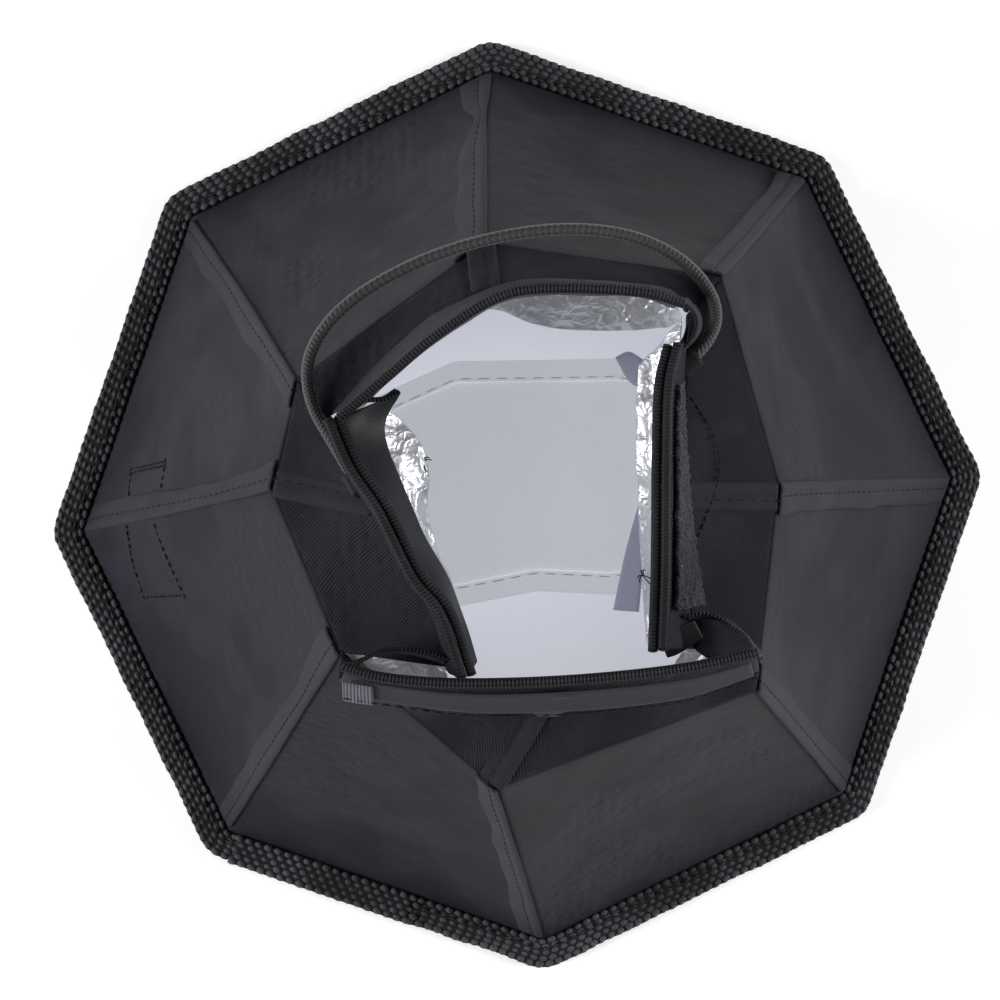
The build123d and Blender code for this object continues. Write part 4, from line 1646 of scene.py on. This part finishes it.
    def build_corners(self) -> None:
        """Gathered elastic tapes that draw the flaps together at the corners."""
        spans = {
            1: ([(32.4, 35.2, 101.5), (34.8, 32.6, 99.5), (34.6, 29.4, 100.0),
                (31.6, 26.4, 101.5)], Side.TOP, 5.0),
            2: ([(-30.8, 18.2, 101.6), (-27.0, 20.6, 99.5), (-23.0, 20.8, 98.5),
                (-20.4, 22.0, 98.0)], Side.LEFT, 4.0),
            3: ([(-33.0, -27.6, 101.4), (-26.0, -25.0, 99.0), (-20.0, -25.6, 99.0),
                (-14.6, -27.6, 100.0)], Side.BOTTOM, 5.0),
            4: ([(29.6, -22.4, 99.0), (35.0, -22.6, 98.0), (39.5, -26.0, 99.0),
                (42.4, -30.4, 101.2)], Side.BOTTOM, 6.0),
        }
        for number, (line, side, height) in spans.items():
            top = spread(line, 40)
            low = top - (0.0, 0.0, height)
            low[:, :2] *= 1.03
            rows = crumple(loft(top, low, 12), 0.5, 4.0, 80.0 + number)
            tape = Piece.grid(f"corner_tape_{number}", rows, COLLAR_MIDDLE)
            Piece.dress(tape, self.finishes.ribbed, "elastic_rib", 0.8, 0.0, soft=True)
            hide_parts(f"corner_elastic_{number}")
            flap = self.flaps[side]
            flap.hinge(tape)
            ribs = self.repeats.lay(
                f"corner_ribs_{number}", [rows[0], rows[6]], [UP, unit(top.mean(axis=0) * (1, 1, 0))],
                self.finishes.rib, "elastic_rib",
                Bead(pitch=0.7, length=0.52, width=0.9, height=0.4, jitter=0.1),
            )
            flap.hinge(ribs)


@dataclass
class Diffusers(Part):
    """White front cloth held in the rim and the narrower cloth strip that hangs inside."""

    profile: list[tuple[float, float]] = field(
        default_factory=lambda: [(-55, 36.5), (-46, 33.5), (-32, 31.5), (0, 30.5), (20, 33), (31, 46),
            (38.5, 68)]
    )

    def build(self) -> None:
        """Make both diffusers, the hems and their stitches."""
        self.build_front()
        self.build_inner()
        self.build_tufts()

    def build_front(self) -> None:
        """Flat octagon of cloth, stretched in the rim, with a slight slack."""
        radius = 91.0 / math.cos(math.pi / SIDES)
        rows = []
        for t in np.linspace(0.0, 1.0, 40):
            ring = []
            for k in range(8 * 12 + 1):
                side, share = divmod(k, 12)
                a, b = (2 * math.pi * ((side + i) % SIDES) / SIDES for i in (0, 1))
                corner = np.array((math.cos(a), math.sin(a)))
                after = np.array((math.cos(b), math.sin(b)))
                spot = (corner + (after - corner) * share / 12) * radius * max(t, 0.004)
                slack = 0.12 * ripple(np.array((spot[0], spot[1], 0)), 24.0, 90.0) * (1 - t)
                ring.append((spot[0], spot[1], 1.0 + slack))
            rows.append(ring)
        grid = np.array(rows)
        cloth = Piece.grid("front_cloth", grid, (0.0, 0.0, -50.0))
        bm = bmesh.new()
        bm.from_mesh(cloth.data)
        bmesh.ops.remove_doubles(bm, verts=bm.verts, dist=1e-5)
        holes = [edge for edge in bm.edges if edge.is_boundary and edge.verts[0].co.length < 0.004]
        bmesh.ops.holes_fill(bm, edges=holes, sides=0)
        layer = bm.loops.layers.uv.verify()
        for face in bm.faces:
            for loop in face.loops:
                loop[layer].uv = loop.vert.co.xy
        bmesh.ops.recalc_face_normals(bm, faces=bm.faces)
        bm.to_mesh(cloth.data)
        bm.free()
        Piece.dress(cloth, self.finishes.front, "diffuser_cloth", 0.35, 0.0)
        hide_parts("front_diffuser")
        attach(cloth, "front")

    def strip_point(self, share: float) -> tuple[float, float]:
        """X and Z of the inner strip at a place along it."""
        x, z, _ = along([(a, b, 0.0) for a, b in self.profile], share)
        return float(x), float(z)

    def edges(self, x: float) -> tuple[float, float]:
        """Lower and upper edge of the inner strip, in Y, at a place X.

        Args:
            x: Place along the strip, in millimetres.

        Returns:
            Y of the lower and of the upper edge.
        """
        upper = np.interp(x, (-55, -46, -22, -11, 22, 31, 38.5), (10, 16, 26, 30.2, 28.6, 25.0, 18.0))
        lower = np.interp(x, (-55, -46, -24, -12, 3, 18, 31, 38.5),
            (-7, -12, -20.5, -19.8, -17.8, -19.4, -18.0, -15.0))
        return float(lower), float(upper)

    def build_inner(self) -> None:
        """Hanging strip of cloth with folded hems on its two long edges."""
        rows, upper, lower, seams = [], [], [], [[], []]
        for share in np.linspace(0.0, 1.0, 120):
            x, z = self.strip_point(share)
            low, high = self.edges(x)
            row = []
            for t in np.linspace(0.0, 1.0, 40):
                y = low + (high - low) * t
                lift = 0.5 * ripple(np.array((x, y, z)), 16.0, 95.0)
                row.append((x, y, z + lift))
            rows.append(row)
            if -44 < x < 24:
                first, last = np.array(row[0]), np.array(row[-1])
                up = np.array((0.0, 0.0, 0.45))
                lower.append([first + up + (0, t, 0) for t in np.linspace(-0.1, 4.2, 6)])
                upper.append([last + up + (0, -t, 0) for t in np.linspace(-0.1, 4.2, 6)])
                seams[0].append(first + up + (0, 3.6, 0.12))
                seams[1].append(last + up + (0, -3.6, 0.12))
        cloth = Piece.grid("inner_cloth", np.array(rows), ORIGIN)
        Piece.dress(cloth, self.finishes.inner, "diffuser_cloth", 0.3)
        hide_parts("inner_diffuser")
        span(cloth)
        hems = merge(
            "inner_hem_folds",
            [Piece.grid("hem", np.array(lower), ORIGIN), Piece.grid("hem", np.array(upper), ORIGIN)],
        )
        Piece.dress(hems, self.finishes.inner, "diffuser_cloth", 0.3)
        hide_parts("inner_diffuser_hems")
        span(hems)
        first = [(26.9, 5.1, 58.0), (25.4, -4.0, 56.0), (22.6, -22.6, 54.0)]
        last = [(26.2, 4.6, 54.0), (21.5, -9.0, 50.0), (17.9, -22.2, 47.0)]
        # The curl and the ear take the darker fold copy of the inner cloth: painted shade in the folds.
        curl = Piece.grid("inner_end_curl", loft(spread(first, 24), spread(last, 24), 8), ORIGIN)
        Piece.dress(curl, self.finishes.inner_fold_shaded, "diffuser_cloth", 0.3)
        span(curl)
        ear_top = [(21.4, 28.2, 52.0), (24.0, 29.0, 54.0), (26.6, 27.2, 56.0)]
        ear_low = [(23.6, 24.0, 48.0), (24.6, 22.8, 50.0), (25.6, 22.0, 52.0)]
        ear = Piece.grid("inner_corner_ear", loft(spread(ear_top, 12), spread(ear_low, 12), 6), ORIGIN)
        Piece.dress(ear, self.finishes.inner_fold_shaded, "diffuser_cloth", 0.3)
        span(ear)
        stitches = self.repeats.lay(
            "inner_hem_stitches", [np.array(s) for s in seams], [UP] * 2, self.finishes.grey_thread,
            "diffuser_cloth",
            Bead(pitch=3.6, length=2.9, width=0.3, height=0.2, jitter=0.04),
        )
        span(stitches)

    def build_tufts(self) -> None:
        """Short loose ends of black thread inside the neck."""
        parts = []
        for spot, seed in (((-17.0, 9.2, 85.8), 1.0), ((22.9, -14.6, 84.5), 2.0)):
            for k in range(6):
                way = np.array((math.cos(k * 1.9 + seed), math.sin(k * 1.9 + seed), 0.5))
                middle = np.array(spot) + way * 0.9
                tip = np.array(spot) + way * (1.2 + 0.3 * (k % 3)) + (0.4, -0.3, -0.4)
                path = spread([spot, tuple(middle), tuple(tip)], 8)
                parts.append(Piece.tube("tuft", path, oval(0.22, 0.22, 6), UP))
        tufts = merge("thread_ends", parts)
        Piece.dress(tufts, self.finishes.thread, "black_nylon")
        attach(tufts, "neck")


@dataclass
class Studio:
    """Camera straight above the softbox, soft light from its sides, and a pale floor."""

    distance: float = 0.680
    lens: float = 113.8
    turn: float = -3.5

    def build_camera(self) -> None:
        """Make the camera and set it as the scene's."""
        data = bpy.data.cameras.new("camera")
        data.lens = self.lens
        data.sensor_width = 36.0
        data.shift_x = -0.017
        data.shift_y = 0.005
        camera = new_object("camera", data)
        camera.location = (0.0, 0.0, self.distance)
        camera.rotation_euler = (0.0, 0.0, math.radians(self.turn))
        bpy.context.scene.camera = camera

    def build_light(self, name: str, place: Point, size: float, power: float) -> None:
        """Make a soft square light that faces the softbox.

        Args:
            name: Name of the light.
            place: Its place in metres.
            size: Side of its square in metres.
            power: Its power in watts.
        """
        data = bpy.data.lights.new(name, "AREA")
        data.shape = "SQUARE"
        data.size = size
        data.energy = power
        light = new_object(name, data)
        light.location = place
        aim = Vector((0.0, 0.0, 0.05)) - Vector(place)
        light.rotation_euler = aim.to_track_quat("-Z", "Y").to_euler()

    def build(self) -> None:
        """Make the lights, the surrounding light and the floor."""
        self.build_light("left_light", (-0.80, -0.05, 0.42), 0.5, 9.6)
        self.build_light("right_light", (0.80, 0.0, 0.44), 0.5, 9.0)
        self.build_light("top_light", (0.0, 0.25, 1.1), 0.6, 0.9)
        bpy.context.scene.view_settings.view_transform = "Standard"
        world = bpy.data.worlds.new("soft_surround")
        world.use_nodes = True
        world.node_tree.nodes["Background"].inputs["Color"].default_value = (0.95, 0.96, 1.0, 1)
        world.node_tree.nodes["Background"].inputs["Strength"].default_value = 0.07
        bpy.context.scene.world = world
        mesh = bpy.data.meshes.new("floor")
        half, z = 2.0, -0.0006
        mesh.from_pydata([(-half, -half, z), (half, -half, z), (half, half, z),
            (-half, half, z)], [], [(0, 1, 2, 3)])
        floor = new_object("floor", mesh)
        material, sheet, shader = new_material("pale_floor")
        place = sheet.add("ShaderNodeTexCoord")
        grain = sheet.add("ShaderNodeTexNoise", {"Scale": 6.0, "Vector": place.outputs["Object"]})
        shade = sheet.mix(grain.outputs[0], (0.93, 0.93, 0.935, 1), (0.96, 0.96, 0.96, 1))
        sheet.join(shade, shader.inputs["Base Color"])
        sheet.join(shade, shader.inputs["Emission Color"])
        shader.inputs["Emission Strength"].default_value = 0.30
        shader.inputs["Roughness"].default_value = 0.9
        floor.data.materials.append(material)


def dress_battens(finishes: Finishes) -> None:
    """Give the battens inside the rim their plastic.

    Args:
        finishes: Finishes of the softbox.
    """
    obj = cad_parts["rim_battens"]
    obj.data.materials.clear()
    obj.data.materials.append(finishes.plastic)


def main() -> None:
    """Build every piece in order."""
    logging.basicConfig(level=logging.INFO, format="%(message)s")
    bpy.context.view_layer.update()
    studio = Studio()
    studio.build_camera()
    finishes = Finishes()
    repeats = Repeats()
    ElasticCord(finishes, repeats).build()
    studio.build()
    dress_battens(finishes)
    RimBinding(finishes, repeats).build()
    Walls(finishes, repeats).build()
    neck = Neck(finishes, repeats)
    neck.build()
    Collar(finishes, repeats).build(neck)
    Diffusers(finishes, repeats).build()


if __name__ == "__main__":
    main()
